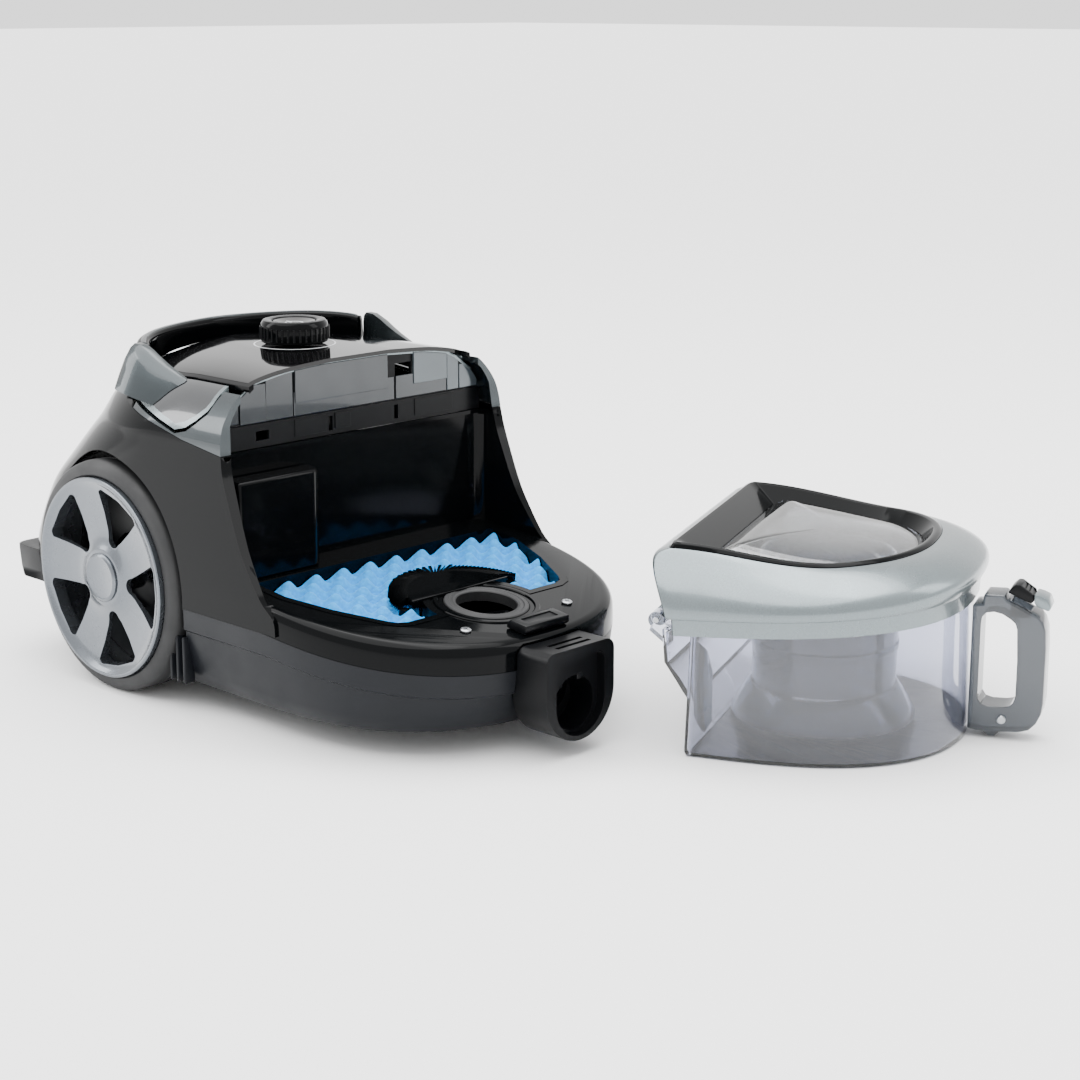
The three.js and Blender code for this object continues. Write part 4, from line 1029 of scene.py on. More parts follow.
    def pedals(self) -> None:
        """Smoky pedal on each shoulder, with its bright rim and silver cap."""
        low = [
            (1, 276), (1, 262), (3, 244), (6, 238), (12, 234), (30, 231), (57, 225.5), (90, 217),
            (102, 220), (112, 226), (120, 233), (122, 238), (122, 246),
        ]
        high = [
            (4.6, 276), (4.6, 262), (6.6, 245), (9, 241), (14, 237.8), (31, 234.8), (58, 229.3),
            (89.4, 221.4), (100, 224), (109.6, 229.2), (116.4, 235), (118, 239), (118, 246),
        ]
        for side, hand in ((-1, "right"), (1, "left")):
            body = f"foot_pedal_{hand}"
            span = sorted((side * 112.5, side * 200))
            shell = carved(FORM.body(), Cut.AWAY, FORM.body(5, 1))
            inner = prism([*high, (118, 276)], *span, "y")
            raised = carved(self.lug(side), Cut.AWAY, FORM.body(-0.4))
            cap = carved(raised, Cut.COMMON, inner.copy())
            face = carved(shell.copy(), Cut.COMMON, inner.copy())
            piece(f"pedal_face_{hand}", face, MACHINE, SMOKED_PANEL, body, [f"pedal_{hand}"],
                  bevel=0.6)
            rim = carved(carved(shell, Cut.COMMON, prism([*low, (122, 276)], *span, "y")), Cut.AWAY, inner)
            piece(f"pedal_rim_{hand}", rim, MACHINE, SILVER_LACQUER, body, bevel=0.5)
            piece(f"pedal_lug_{hand}", cap, MACHINE, GREY_LACQUER, body,
                  [f"pedal_cap_{hand}"], bevel=0.8)

    def lug(self, side: int) -> Shape:
        """Cap at the back of a pedal, whose top falls forwards to the pedal's face."""
        section = [
            (112.5, 0), (141, 0), (138.5, 0.22), (133, 0.5), (127, 0.78), (122, 0.94), (118, 1), (112.5, 1),
        ]

        def place(i: int, j: int) -> tuple[float, float, float]:
            x, top, draw = self.lug_rows[j]
            y, share = section[i]
            return x, side * (112.5 + (y - 112.5) * draw), 228 + (top - 228) * share

        return swept(len(section), len(self.lug_rows) - 1, place)

    def controls(self) -> None:
        """Speed ring with ribs, its printed mark, and the power button in it."""
        x, radius, base, top = self.knob
        ring = turned([
            (0, base + 0.6), (radius - 1.4, base + 0.6), (radius - 0.4, base + 1.2), (radius, base + 2.4),
            (radius, top - 5), (radius - 0.6, top - 2.6), (radius - 2.2, top - 0.6), (radius - 4.4, top),
            (18.2, top - 0.8), (17.2, top - 1.8), (17.2, base + 3.4), (0, base + 3.4),
        ], 96)
        spindle = rod("z", 5, 246, base + 2, (0, 0), 32)
        grips = []
        for k in range(36):
            rib = rod("z", 0.9, base + 3, top - 5.5, (radius + 0.1, 0), 8)
            grips.append(moved(rib, Matrix.Rotation(math.tau * k / 36, 4, "Z")))
        whole = carved(ring, Cut.JOIN, spindle)
        moved(whole, Matrix.Translation((x, 0, 0)))
        piece("speed_ring", whole, MACHINE, GLOSS_BLACK, "knob", ["speed_knob"])
        grip = merged(grips)
        moved(grip, Matrix.Translation((x, 0, 0)))
        piece("speed_ring_grip", grip, MACHINE, SATIN_BLACK, "knob")
        button = turned([
            (0, base + 6), (16.6, base + 6), (16.6, top - 2.2), (16.0, top - 1.6), (14.6, top - 1.8),
            (10, top - 3.2), (0, top - 3.8),
        ], 72)
        button = moved(button, Matrix.Translation((x, 0, 0)))
        piece("power_cap", button, MACHINE, BLACK_CHROME, "button", ["power_button"])
        mark = turned([(6.2, top - 3.9), (7.4, top - 3.9), (7.4, top - 3.15), (6.2, top - 3.15)], 48)
        mark = carved(mark, Cut.AWAY, block(-12, -2, -2.2, 2.2, top - 8, top + 2))
        stroke = block(-9, -3.5, -0.6, 0.6, top - 3.9, top - 2.9)
        mark = merged([mark, stroke])
        piece("power_mark", moved(mark, Matrix.Translation((x, 0, 0))), MACHINE, WHITE_INK, "button")
        halo = turned([(radius + 4.6, base - 2.4), (radius + 5.6, base - 2.4), (radius + 5.6, base + 0.2),
                       (radius + 4.6, base + 0.2)], 96)
        halo = moved(halo, Matrix.Translation((x, 0, 0)))
        halo = carved(halo, Cut.COMMON, carved(FORM.body(-0.15), Cut.AWAY, FORM.body(0.6)))
        piece("ring_print", halo, MACHINE, WHITE_INK, "machine")


def merged(shapes: Sequence[Shape]) -> Shape:
    """Gathers separate closed shapes into one."""
    whole = bmesh.new()
    for shape in shapes:
        mesh = bpy.data.meshes.new("part")
        shape.to_mesh(mesh)
        shape.free()
        whole.from_mesh(mesh)
        bpy.data.meshes.remove(mesh)
    return whole


# ------------------------------------------------------------------------------- deck fittings


@dataclass
class DeckGroup:
    """Filter cassette, air hole, catch, screws and hose socket at the machine's nose.

    Attributes:
        bump_pitch: Spacing of the foam's bumps.
        bump_height: Height of the foam's bumps.
        bar_centre: x and y of the centre of the cassette's curved bar.
        bar_radius: Radius of the bar's middle line.
        post_angles: Angle in degrees of each post under the bar.
    """

    bump_pitch: float = 25.0  # mm between the foam's bumps
    bump_height: float = 10.0
    bar_centre: Point = (-15, 0)
    bar_radius: float = 56
    post_angles: tuple = (104, 142, 180, 218, 256)

    def build(self) -> None:
        """Makes and dresses every piece of the deck."""
        self.gasket()
        self.tray()
        self.foam()
        self.small_parts()
        self.socket()
        self.duct()

    def gasket(self) -> None:
        """Rubber ring round the air hole, with its stepped throat."""
        ring = turned([(22.6, -7), (31.4, -7), (31.4, 0.4), (30.6, 1.1), (28, 1.4), (27.2, 0.9), (25.6, 0.9),
                       (24.8, 1.3), (23.2, 0.9), (22.6, 0.2)], 96)
        piece("air_gasket", moved(ring, FORM.on_deck()), MACHINE, RUBBER, "machine",
              ["inlet_gasket"])
        collar = turned([(35.2, -0.6), (39.4, -0.6), (39.4, 0.5), (38.8, 1.1), (36, 1.1), (35.2, 0.5)], 96)
        piece("air_collar", moved(collar, FORM.on_deck()), MACHINE, GLOSS_BLACK, "machine")

    def tray(self) -> None:
        """Cassette frame with its curved bar on posts."""
        tray = carved(cassette(0, -26, 0.5), Cut.AWAY, cassette(-6, -23, 10))
        slots = [block(-104, -48, y + 4, y + 44, -30, -20) for y in range(-96, 96, 48)]
        tray = carved(tray, Cut.AWAY, *slots)
        bar = self.bar_plan(6, self.post_angles[0], self.post_angles[-1], 56)
        whole = [eased(prism(bar, -4, 2.4), 1.4), *self.posts(4, -24, -3, 16)]
        piece("cassette_frame", moved(carved(tray, Cut.JOIN, *whole), FORM.on_deck()), MACHINE, GLOSS_BLACK,
              "filter_cassette", ["filter_frame"], bevel=0.5)

    def bar_plan(self, half: float, first: float, last: float, steps: int) -> list[Point]:
        """Plan of a strip along the cassette's curved bar.

        Args:
            half: Half width of the strip.
            first: Angle in degrees of its one end.
            last: Angle of its other end.
            steps: Steps along each of its long sides.

        Returns:
            The closed outline.
        """
        outer = arc(*self.bar_centre, self.bar_radius + half, first, last, steps)
        return outer + arc(*self.bar_centre, self.bar_radius - half, last, first, steps)

    def posts(self, radius: float, bottom: float, top: float, sides: int) -> list[Shape]:
        """Upright rods along the middle of the cassette's bar.

        Args:
            radius: Radius of each rod.
            bottom: Height of their lower ends.
            top: Height of their upper ends.
            sides: Sides of each rod.

        Returns:
            The rods.
        """
        places = [arc(*self.bar_centre, self.bar_radius, angle, angle, 1)[0] for angle in self.post_angles]
        return [rod("z", radius, bottom, top, place, sides) for place in places]

    def foam(self) -> None:
        """Egg-crate foam that fills the cassette."""
        along, across = 130, 250
        pitch = math.tau / self.bump_pitch

        def crate(x: float, y: float) -> float:
            wave = math.cos(pitch * x) * math.cos(pitch * y * 0.94)
            return -7.5 + self.bump_height * 0.62 * wave

        top = bmesh.new()
        bmesh.ops.create_grid(top, x_segments=100, y_segments=190, size=0.5)
        for corner in top.verts:
            x, y = -52 + corner.co.x * along, corner.co.y * across
            corner.co = (x, y, crate(x, y))
        drawn = bmesh.ops.extrude_face_region(top, geom=list(top.faces))
        for item in drawn["geom"]:
            if isinstance(item, bmesh.types.BMVert):
                item.co.z = -22.6
        slab = tidy(top)
        outline = carved(prism(grown(CASSETTE, -6.8), -40, 20), Cut.AWAY, rod("z", 48.5, -90, 90, (0, 0), 96))
        posts = self.posts(5, -40, 20, 20)
        channel = self.bar_plan(7.5, 100, 260, 48)
        shape = carved(carved(slab, Cut.COMMON, outline), Cut.AWAY, prism(channel, -7, 20), *posts)
        made = piece("egg_crate_foam", moved(shape, FORM.on_deck()), MACHINE, BLUE_FOAM, "filter_cassette",
                     ["foam_filter"], sharp=60)

    def small_parts(self) -> None:
        """Sprung catch and the two screws in the deck."""
        tab = prism([(43, 0.6), (61, 0.6), (63, 3), (62, 7.5), (46, 7.5), (43, 4)], -22, 22, "y")
        tab = eased(tab, 0.9)
        tab = carved(tab, Cut.AWAY, eased(block(49, 58, -15, 15, 6.4, 9), 0.4))
        tab = carved(tab, Cut.JOIN, block(47.5, 53.5, -13, 13, -9, 2))
        piece("catch_tab", moved(tab, FORM.on_deck()), MACHINE, SATIN_BLACK, "catch",
              ["deck_catch"])
        for side, hand in ((-1, "right"), (1, "left")):
            head = turned([(0, -9), (1.8, -9), (1.8, 0.6), (4, 0.6), (4, 1.6), (3.2, 2.2), (0, 2.4)], 32)
            moved(head, Matrix.Translation((32, side * 51.5, 0)))
            cross = [block(32 - a, 32 + a, side * 51.5 - b, side * 51.5 + b, 1.4, 4)
                     for a, b in ((2.2, 0.45), (0.45, 2.2))]
            head = carved(head, Cut.AWAY, *cross)
            piece(f"screw_head_{hand}", moved(head, FORM.on_deck()), MACHINE, STEEL, "machine",
                  [f"deck_screw_{hand}"])

    def socket(self) -> None:
        """Hose socket with its keyed bore, lip and slots on top."""
        mouth_line = arc(0, 40, 24.5, 180, 360, 36)
        mouth_line += arc(17.5, 66.5, 7, 0, 90, 8) + arc(-17.5, 66.5, 7, 90, 180, 8)
        slots = [block(349 + 8 * i, 352.5 + 8 * i, -17, 17, 77, 90) for i in (0, 1)]
        lip = carved(socket_outline(), Cut.AWAY, prism(mouth_line, 359.5, 380, "x"),
                     rod("x", 20, 337, 380, (0, 38), 64), rod("x", 16.5, 320, 345, (0, 43), 48), *slots)
        piece("socket_body", lip, MACHINE, SATIN_BLACK, "machine", ["hose_socket"], bevel=1.3)
        key = eased(block(342, 360, 3, 9, 54.5, 59), 0.8)
        piece("socket_key", key, MACHINE, SATIN_BLACK, "machine")

    def duct(self) -> None:
        """Column in the right corner of the pocket that carries the air behind it."""
        plan = [(129.6, -128), (150, -128), *arc(140, -60, 10, 0, 70, 10), (129.6, -47)]
        column = carved(prism(plan, 90, 184), Cut.AWAY, pocket_floor())
        piece("pocket_column", column, MACHINE, GLOSS_BLACK, "machine", bevel=2.2)


# ------------------------------------------------------------------------------- wheels and castor


@dataclass
class Wheels:
    """Two big spoked wheels.

    Attributes:
        first_window: Angle in degrees of the first window between spokes.
    """

    first_window: float = -4.0

    def build(self) -> None:
        """Makes and dresses both wheels."""
        for side, hand in ((-1, "right"), (1, "left")):
            self.wheel(side, hand)

    def wheel(self, side: int, hand: str) -> None:
        """One wheel: tyre, dished hub with five windows, ring round the middle and cap.

        Args:
            side: -1 for the right one, 1 for the left one.
            hand: Ending of the names.
        """
        body = f"wheel_{hand}"
        axle = Matrix.Translation((0, 0, 90.4)) @ Matrix.Diagonal((1, side, 1, 1)) @ Matrix.Rotation(
            -math.pi / 2, 4, "X")
        tyre = turned([
            (78.6, 112), (86, 112), (88.2, 113.2), (89.8, 116), (90.4, 120), (90.4, 127), (89.7, 127.6),
            (89.7, 129.4), (90.4, 130), (90.4, 137), (89.7, 140.4), (87.6, 143.4), (84, 145.2), (79.6, 145.8),
            (78.6, 145.2),
        ], 144)
        piece(f"tyre_tread_{hand}", moved(tyre, axle), MACHINE, RUBBER, body, [f"tyre_{hand}"])
        dish = turned([
            (0, 139), (60, 139), (72, 136), (74, 134), (74, 112), (78, 112), (78, 149), (77.4, 149.8),
            (76, 150), (74.6, 149.4), (73, 147.9), (66, 146.2), (52, 143.6), (38, 142.4), (26, 143.4),
            (22.6, 145.6), (21.4, 146), (0, 146),
        ], 144)
        windows = []
        for k in range(5):
            outline = (arc(33.5, 0, 6.5, 100, 260, 14) + arc(61.5, -19, 5.5, 280, 368, 10)
                       + [(68.2, -8), (69, 0), (68.2, 8)] + arc(61.5, 19, 5.5, -8, 80, 10))
            hole = prism(outline, 100, 170)
            tip = Matrix.Rotation(-math.radians(self.first_window + 72 * k), 4, "Z")
            windows.append(moved(hole, tip))
        hub = carved(carved(dish, Cut.JOIN, rod("z", 14, 114, 141, (0, 0), 48)), Cut.AWAY, *windows,
                     rod("z", 6.4, 100, 141.5, (0, 0), 24))
        piece(f"hub_dish_{hand}", moved(hub, axle), MACHINE, HUB_LACQUER, body,
              [f"hub_{hand}"], bevel=1.7)
        cap = turned([
            (0, 146.3), (19, 146.3), (19, 147.4), (18.2, 148.4), (16.8, 148.9), (15.4, 148.3), (0, 148.6),
        ], 96)
        piece(f"hub_button_{hand}", moved(cap, axle), MACHINE, HUB_LACQUER, body,
              [f"hub_cap_{hand}"])
        brake = turned([(30, 112.6), (73.4, 112.6), (73.4, 114.6), (30, 114.6)], 96)
        piece(f"hub_back_{hand}", moved(brake, axle), MACHINE, SATIN_BLACK, body)


@dataclass
class Castor:
    """Swivelling front castor.

    Attributes:
        roller_radius: Radius of the roller.
    """

    roller_radius: float = 15

    def build(self) -> None:
        """Makes the roller, and dresses the fork and the pin."""
        roller = turned([(2.9, -12), (12, -12), (13.6, -11.4), (14.8, -9.6), (15, -8), (15, 8), (14.8, 9.6),
                         (13.6, 11.4), (12, 12), (2.9, 12)], 72)
        moved(roller, Matrix.Translation((212, 0, self.roller_radius)) @ Matrix.Rotation(math.pi / 2, 4, "X"))
        piece("castor_tread", roller, MACHINE, RUBBER, "castor_wheel", ["castor_roller"])
        dress(SATIN_BLACK, "castor_fork")
        dress(STEEL, "castor_pin", "axle_pin_right", "axle_pin_left")


# ------------------------------------------------------------------------------- dust bin


@dataclass
class BinForm:
    """Outer form of the dust bin in its own millimetres.

    Attributes:
        start: x where the nose curve starts.
        length: x of the nose.
        half: Half width.
        powers: Powers of the nose curve along and across.
        band_rows: Silver band: height over the lid's lower edge, half width, rear x, nose x.
        ring_rows: Black ring, in the same way.
        dome_rows: Clear dome, in the same way.
        lift: Height from which the lid rises to its back, the growth there, and the x from which it
            rises over what length.
        wall: Thickness of the lid's band.
    """

    start: float = 20
    length: float = 181
    half: float = 126
    powers: Point = (2.6, 2.4)
    band_rows: tuple = (
        (0, 134, -8, 181.5), (11.4, 134, -9, 182), (12, 134.6, -9.4, 182.2), (12.6, 137.4, -12, 183.5),
        (14, 138.2, -12.8, 184.4), (20, 137.4, -15.5, 187), (27, 132.5, -20.5, 186), (33, 125, -25.5, 180),
        (38, 117, -28.5, 171), (41, 112, -26.5, 162), (42.6, 108.8, -19, 153),
    )
    ring_rows: tuple = (
        (40.4, 108.2, -18.2, 152.4), (43, 108.2, -18.2, 152.4), (44.6, 106.8, -16.8, 150.8),
        (45.2, 104.6, -14.6, 148.6), (44.6, 102, -12, 146.4), (35.6, 92.4, 6.4, 139.4),
        (33, 92.4, 6.4, 139.4), (39.8, 101, -10, 145),
    )
    dome_rows: tuple = (
        (33.4, 92, 6.8, 139), (35.4, 92, 6.8, 139), (38.6, 86, 12, 134), (42.4, 75, 22, 125),
        (45, 60, 34, 113), (46.6, 42, 47, 100), (47.4, 20, 62, 84), (47.5, 4, 71, 75),
    )
    lift: tuple = (14, 0.5, 105, 125)
    wall: float = 2.6

    def rim(self, x: float) -> float:
        """Height of the lid's lower edge at x."""
        return 91 + 0.06 * x

    def outline(self) -> list[Point]:
        """Unit outline: a round front and a flat back with small corners."""
        points = arc(0, 0, 1, -90, 90, 96)
        points += split([(0, 1), (-0.9, 1)], 6)[1:] + arc(-0.9, 0.9, 0.1, 90, 180, 8)
        points += split([(-1, 0.9), (-1, -0.9)], 28)[1:] + arc(-0.9, -0.9, 0.1, 180, 270, 8)
        return points + split([(-0.9, -1), (0, -1)], 6)[1:]

    def point(self, x: float, y: float, half: float, rear: float, nose: float) -> Point:
        """Corner of an outline whose half width, rear x and nose x are given."""
        start = max(self.start, rear + 0.12 * (nose - rear))
        if x <= 0:
            return start + (start - rear) * x, y * half
        return start + (nose - start) * power(x, 2 / self.powers[0]), half * power(y, 2 / self.powers[1])

    def cup(self, inset: float) -> Shape:
        """Space taken by the cup, shrunk by its wall and then open upwards."""
        rows = [(inset, -3.5), (inset + 0.3, -2.2), (inset + 1.2, -1), (inset + 4, 0), (0, -3)]
        outline = self.outline()

        def place(i: int, j: int) -> tuple[float, float, float]:
            height, offset = rows[j]
            grow = offset - inset
            x, y = self.point(*outline[i], self.half + grow, -grow, self.length + grow)
            return x, y, self.rim(x) + 8 + inset * 3 if j == len(rows) - 1 else height

        return swept(len(outline), len(rows) - 1, place)

    def step(self, inset: float) -> Shape:
        """Step at the back of the cup that carries the lid's hinge."""
        front = 12 if inset > 0 else 2
        return prism([
            (front, 36 + 2 * inset), (inset, 38 + inset), (-4 + inset, 43.5 + inset),
            (-9 + inset, 51 + inset), (-18 + inset, 64), (-20 + inset, 88 - inset), (front, 88 - inset),
        ], -112 + inset, 112 - inset, "y")

    def lofted(self, rows: Sequence[Sequence[float]], closed: bool = False) -> Shape:
        """Shape through rows of the lid, which rises towards its back.

        Args:
            rows: Height over the lid's lower edge, half width, rear x and nose x of each outline.
            closed: Whether the last outline joins the first, which makes a ring.

        Returns:
            The closed shape.
        """
        outline = self.outline()
        rows = [*rows, rows[0]] if closed else rows
        base, gain, begin, length = self.lift

        def place(i: int, j: int) -> tuple[float, float, float]:
            height, half, rear, nose = rows[j]
            x, y = self.point(*outline[i], half, rear, nose)
            ease = min(1.0, max(0.0, (begin - x) / length))
            growth = gain * ease * ease * (3 - 2 * ease)
            return x, y, self.rim(x) + height + max(0.0, height - base) * growth

        return swept(len(outline), len(rows) - 1, place)


BIN_FORM = BinForm()


def knuckles(spans: Sequence[Point]) -> list[Shape]:
    """Hinge knuckles between pairs of y, on both sides."""
    return [rod("y", 6, *sorted((side * a, side * b)), (-27, 92), 40) for a, b in spans for side in (-1, 1)]


@dataclass
class DustBin:
    """Clear cup, its cyclone and its handle.

    Attributes:
        wall: Thickness of the cup's wall.
        cyclone_x: x of the separator's axis.
    """

    wall: float = 2.2
    cyclone_x: float = 72

    def build(self) -> None:
        """Makes and dresses every piece that stays with the cup."""
        self.cup()
        self.cyclone()
        self.handle()
        self.button()
        dress(STEEL, "hinge_pin_right", "hinge_pin_left")

    def cup(self) -> None:
        """Cup with its hinge arms, and the plate in its corner."""
        arms = [prism([(-19, 74), (-15, 87), (-24, 91), (-30, 91), (-32, 84)], *span, "y")
                for span in ((-104, -92), (92, 104))]
        body = carved(BIN_FORM.cup(0), Cut.JOIN, BIN_FORM.step(0))
        inside = carved(BIN_FORM.cup(self.wall), Cut.JOIN, BIN_FORM.step(self.wall))
        shell = carved(body, Cut.AWAY, inside)
        shell = carved(carved(shell, Cut.JOIN, *arms, *knuckles([(92, 104)])), Cut.AWAY,
                       rod("y", 2.5, -110, 110, (-27, 92), 24))
        piece("clear_cup", shell, BIN, CLEAR, "dust_bin", ["bin_cup"], bevel=0.5)
        plate = prism([(-118, 84), (-118, 30), (-110, 21), (-96, 10), (-78, 12), (-78, 50), (-92, 70)],
                      6, 8.5, "x")
        piece("corner_plate", eased(plate, 0.6), BIN, SMOKE_CLEAR, "dust_bin", ["inlet_plate"])

    def cyclone(self) -> None:
        """Shroud with ledges, flared skirt and inner cone."""
        here = Matrix.Translation((self.cyclone_x, 0, 0))
        shroud = turned([
            (53.5, 30), (53.5, 56), (54.6, 57.5), (54.6, 61), (53.5, 62.5), (53.5, 104), (52.6, 106.5),
            (50.5, 108.5), (50.5, 126), (48, 126), (48, 107), (51, 103), (51, 30),
        ], 96)
        piece("cyclone_wall", moved(shroud, here), BIN, SMOKE_CLEAR, "dust_bin", ["cyclone_shroud"])
        skirt = turned([
            (48.5, 29.5), (54, 29.5), (56.5, 27.5), (60, 22), (66, 13), (68.5, 8), (68.5, 4.4), (66, 4.4),
            (66, 8), (63, 13), (57, 20), (53, 25), (48.5, 25.5),
        ], 96)
        piece("cyclone_flare", moved(skirt, here), BIN, SMOKE_CLEAR, "dust_bin", ["cyclone_skirt"])
        cone = turned([(36, 122), (39, 122), (39, 92), (20, 14), (17, 14), (36, 92.5)], 72)
        piece("inner_cone", moved(cone, here), BIN, SMOKE_CLEAR, "dust_bin", ["cyclone_cone"])

    def handle(self) -> None:
        """Rounded grip with its screw, and the clip under its foot."""
        outside = [
            (181.5, 86), (181.5, 100), (188.6, 100.6), (189, 107), (190, 108), (202, 108.6), (204, 108),
            (206, 104.6), (214, 101.4), (223, 97), (228.6, 94.6), (231.6, 91), (233.8, 84), (234.6, 70),
            (234.6, 30), (233.6, 22), (230.4, 14.6), (225.6, 9.4), (219, 7.2), (195, 5), (181.5, 6),
        ]
        opening = [
            (188, 86), (188.6, 91), (191.4, 94.4), (197, 95.6), (203, 94.4), (209, 91), (212.4, 88.2),
            (213.8, 84), (215, 60), (215, 34), (213.8, 29), (211, 26.2), (206, 25), (196, 24.6), (190.6, 26),
            (188, 30),
        ]
        grip = eased(prism(outside, -12, 12, "y"), 4.2, 4, 60)
        hole = prism(opening, -20, 20, "y")
        whole = carved(grip, Cut.AWAY, hole, block(208, 222, -7, 7, 92, 120))
        piece("grip", whole, BIN, SMOKE_GREY, "dust_bin", ["bin_handle"], bevel=1.6)
        clip = eased(prism([(192, 4.6), (204, 4.9), (201, 1.4), (196, 1.2)], -8, 8, "y"), 0.6)
        piece("foot_nib", clip, BIN, SMOKE_GREY, "dust_bin", ["bin_foot_clip"])
        screw = turned([(0, 12.4), (3.2, 12.4), (3.2, 13.8), (2.4, 14.4), (0, 14.4)], 32)
        moved(screw, Matrix.Translation((206, 0, 16)) @ Matrix.Rotation(math.pi / 2, 4, "X"))
        piece("grip_screw", screw, BIN, STEEL, "dust_bin", ["handle_screw"])

    def button(self) -> None:
        """Release button on the knee of the grip."""
        pad = prism([(205.5, 110), (208, 113.8), (211, 116.6), (214, 116.4), (223.6, 110), (224, 104.4),
                     (222, 103.4), (208, 109)], -10, 10, "y")
        pad = eased(pad, 1.2)
        grooves = [moved(block(-8, 8, -7.5, 7.5, -0.6, 0.6), Matrix.Translation((x, 0, z)) @ Matrix.Rotation(
            math.radians(58), 4, "Y")) for x, z in ((215.5, 116.6), (218.2, 114.8), (220.9, 113))]
        pad = carved(pad, Cut.AWAY, *grooves)
        piece("button_pad", pad, BIN, SATIN_BLACK, "release_button", ["release_pad"])
        tip = eased(prism([
            (224.4, 110.6), (229, 109.6), (234, 107.6), (236.6, 101.4), (235, 98.6), (226, 101.6),
            (224.4, 104.4),
        ], -10, 10, "y"), 1.2)
        piece("button_tip", tip, BIN, SILVER_LACQUER, "release_button", ["release_tip"])


@dataclass
class BinLid:
    """Silver frame, black ring, clear window and seal of the bin's lid.

    Attributes:
        seal_rows: Height of the seal's lower and upper edge over the lid's lower edge.
    """

    seal_rows: tuple = (8.5, 11.4)

    def build(self) -> None:
        """Makes and dresses every piece of the lid."""
        self.frame()
        self.ring()
        self.window()
        self.seal()

    def frame(self) -> None:
        """Silver band with the hinge arms."""
        wall = BIN_FORM.wall
        outer = smooth_rows(BIN_FORM.band_rows[4:], 3)
        outer = [*BIN_FORM.band_rows[:4], *outer]
        inner = [(h - (wall if h > 14 else 0), half - wall, rear + wall, nose - wall)
                 for h, half, rear, nose in outer]
        band = BIN_FORM.lofted([*outer, *reversed(inner)], closed=True)
        arms = [prism([(-11, 98), (-13, 112), (-16, 112), (-30, 97.4), (-32, 92), (-24, 92)], *span, "y")
                for span in ((-91.5, -84), (84, 91.5))]
        whole = carved(carved(band, Cut.JOIN, *arms, *knuckles([(84, 91.5)])), Cut.AWAY,
                       rod("y", 2.5, -110, 110, (-27, 92), 24))
        piece("lid_band", whole, BIN, SILVER_LACQUER, "bin_lid", ["lid_frame"], bevel=0.4)

    def ring(self) -> None:
        """Black ring round the window, falling inwards to the dome."""
        piece("lid_black_ring", BIN_FORM.lofted(BIN_FORM.ring_rows, closed=True), BIN, GLOSS_BLACK, "bin_lid",
              ["lid_ring"], bevel=0.3)

    def window(self) -> None:
        """Clear dome over the cyclone, with its turned-down edge."""
        outer = [*BIN_FORM.dome_rows[:1], *smooth_rows(BIN_FORM.dome_rows[1:], 3)]
        inner = [(h - 2.2 if k else h - 6, max(1.0, half - 2), min(70.0, rear + 2), nose - 2)
                 for k, (h, half, rear, nose) in enumerate(outer)]
        pane = carved(BIN_FORM.lofted(outer), Cut.AWAY, BIN_FORM.lofted(inner))
        piece("lid_dome", pane, BIN, DOME_CLEAR, "bin_lid", ["lid_window"])

    def seal(self) -> None:
        """Rubber seal between lid and cup."""
        outline = BIN_FORM.outline()

        def ring(growth: float, low: float, high: float) -> Shape:
            def place(i: int, j: int) -> tuple[float, float, float]:
                x, y = BIN_FORM.point(*outline[i], BIN_FORM.half + growth, -growth, BIN_FORM.length + growth)
                return x, y, BIN_FORM.rim(x) + (high if j else low)
            return swept(len(outline), 1, place)

        seal = carved(ring(-2.6, *self.seal_rows), Cut.AWAY, ring(-6.6, 5, 15))
        piece("lid_gasket", seal, BIN, RUBBER, "bin_lid", ["lid_seal"], bevel=0.4)


# ------------------------------------------------------------------------------- insides


@dataclass
class Insides:
    """CAD pieces that stay as they are inside the shells, each with its finish.

    Attributes:
        finishes: Names of the inner pieces that have each finish.
    """

    finishes: dict = field(default_factory=lambda: {
        SATIN_BLACK: ("inlet_duct", "motor_housing", "cord_reel"),
        RUBBER: ("motor_mount",),
        COPPER: ("motor_windings",),
        STEEL: ("motor_shaft", "impeller", "reel_spindle"),
        SOLDER_MASK: ("circuit_board",),
        FILTER_PAPER: ("hepa_filter",),
    })

    def build(self) -> None:
        """Dresses every inner piece."""
        for finish, nodes in self.finishes.items():
            dress(finish, *nodes)


# ------------------------------------------------------------------------------- studio


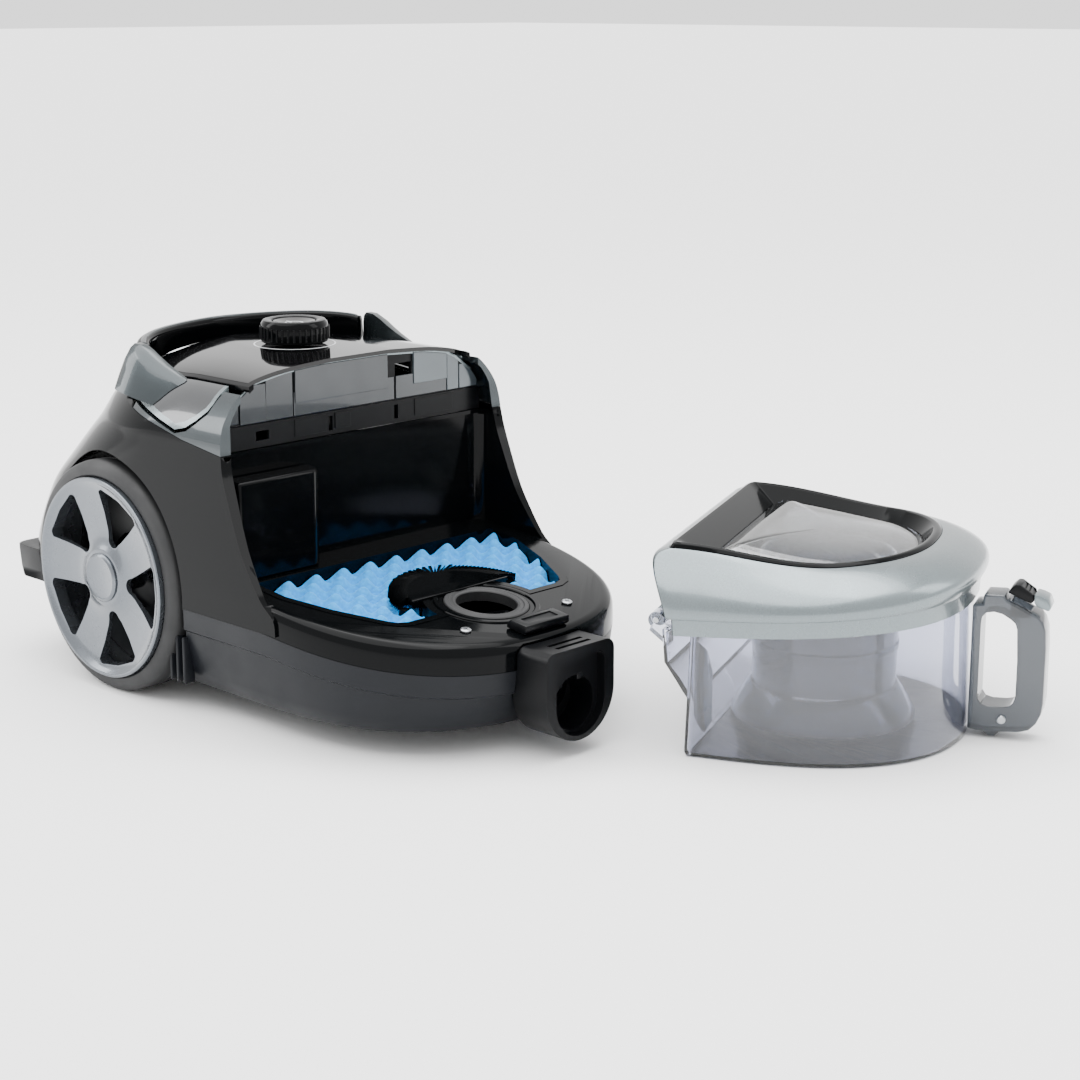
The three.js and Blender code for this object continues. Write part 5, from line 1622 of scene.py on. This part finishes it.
@dataclass
class Studio:
    """Camera, pale floor and soft lights.

    Attributes:
        azimuth: Camera's turn in degrees, 0 looking along +Y.
        elevation: Camera's height angle in degrees.
        lens: Focal length in millimetres on a 36 mm sensor.
        stand: Camera's place from the machine's origin on the floor, in metres.
    """

    azimuth: float = 44.36
    elevation: float = 13.98
    lens: float = 72.97
    stand: tuple = (1.3736, -1.0709, 0.5236)

    def build(self) -> None:
        """Makes the camera, the floor and the lights."""
        self.camera()
        self.floor()
        self.lights()

    def camera(self) -> None:
        """Sets the camera."""
        a, e = math.radians(self.azimuth), math.radians(self.elevation)
        back = Vector((math.sin(a) * math.cos(e), -math.cos(a) * math.cos(e), math.sin(e)))
        data = bpy.data.cameras.new("camera")
        data.lens = self.lens
        data.sensor_width = 36
        held = bpy.data.objects.new("camera", data)
        held.location = MACHINE.origin + Vector(self.stand)
        held.rotation_euler = back.to_track_quat("Z", "Y").to_euler()
        bpy.context.scene.collection.objects.link(held)
        bpy.context.scene.camera = held

    def floor(self) -> None:
        """Pale floor that runs past the view."""
        shape = bmesh.new()
        bmesh.ops.create_grid(shape, x_segments=1, y_segments=1, size=30)
        mesh = bpy.data.meshes.new("floor")
        shape.to_mesh(mesh)
        shape.free()
        paint = bpy.data.materials.new("matt-white-paint")
        paint.use_nodes = True
        shader = paint.node_tree.nodes["Principled BSDF"]
        shader.inputs["Base Color"].default_value = linear("f4f4f4")
        shader.inputs["Roughness"].default_value = 0.9
        shader.inputs["Specular IOR Level"].default_value = 0.1
        mesh.materials.append(paint)
        held = bpy.data.objects.new("floor", mesh)
        bpy.context.scene.collection.objects.link(held)

    def lamp(self, name: str, spot: Sequence[float], aim: Sequence[float], size: Point, watts: float) -> None:
        """Adds a rectangular soft light.

        Args:
            name: Its name.
            spot: Its place in metres.
            aim: What it points at.
            size: Its width and height.
            watts: Its power.
        """
        data = bpy.data.lights.new(name, "AREA")
        data.shape = "RECTANGLE"
        data.size, data.size_y = size
        data.energy = watts
        held = bpy.data.objects.new(name, data)
        held.location = spot
        held.rotation_euler = (Vector(spot) - Vector(aim)).to_track_quat("Z", "Y").to_euler()
        bpy.context.scene.collection.objects.link(held)

    def lights(self) -> None:
        """World glow, a wide soft sun and three soft lights."""
        world = bpy.data.worlds.new("studio")
        world.use_nodes = True
        world.node_tree.nodes["Background"].inputs["Color"].default_value = linear("ffffff")
        world.node_tree.nodes["Background"].inputs["Strength"].default_value = 1.7
        bpy.context.scene.world = world
        data = bpy.data.lights.new("sky", "SUN")
        data.energy = 4.6
        data.angle = math.radians(70)
        held = bpy.data.objects.new("sky", data)
        held.rotation_euler = (math.radians(12), math.radians(-8), 0)
        bpy.context.scene.collection.objects.link(held)
        self.lamp("overhead", (0.1, 0.5, 2.2), (0, 0, 0), (2.4, 1.2), 34)
        self.lamp("left", (-1.9, -1.5, 1.3), (0, 0, 0.1), (0.7, 1.6), 26)
        self.lamp("right", (1.8, 1.4, 1.5), (0.1, 0, 0.1), (1.0, 1.6), 22)


def main() -> None:
    """Builds the whole model and reports each piece."""
    logging.basicConfig(level=logging.INFO, format="%(name)s %(message)s")
    for group in (Studio(), MachineShell(), TopGroup(), DeckGroup(), Wheels(), Castor(), DustBin(), BinLid(),
                  Insides()):
        group.build()
        LOG.info("%s done", type(group).__name__)


if __name__ == "__main__":
    main()
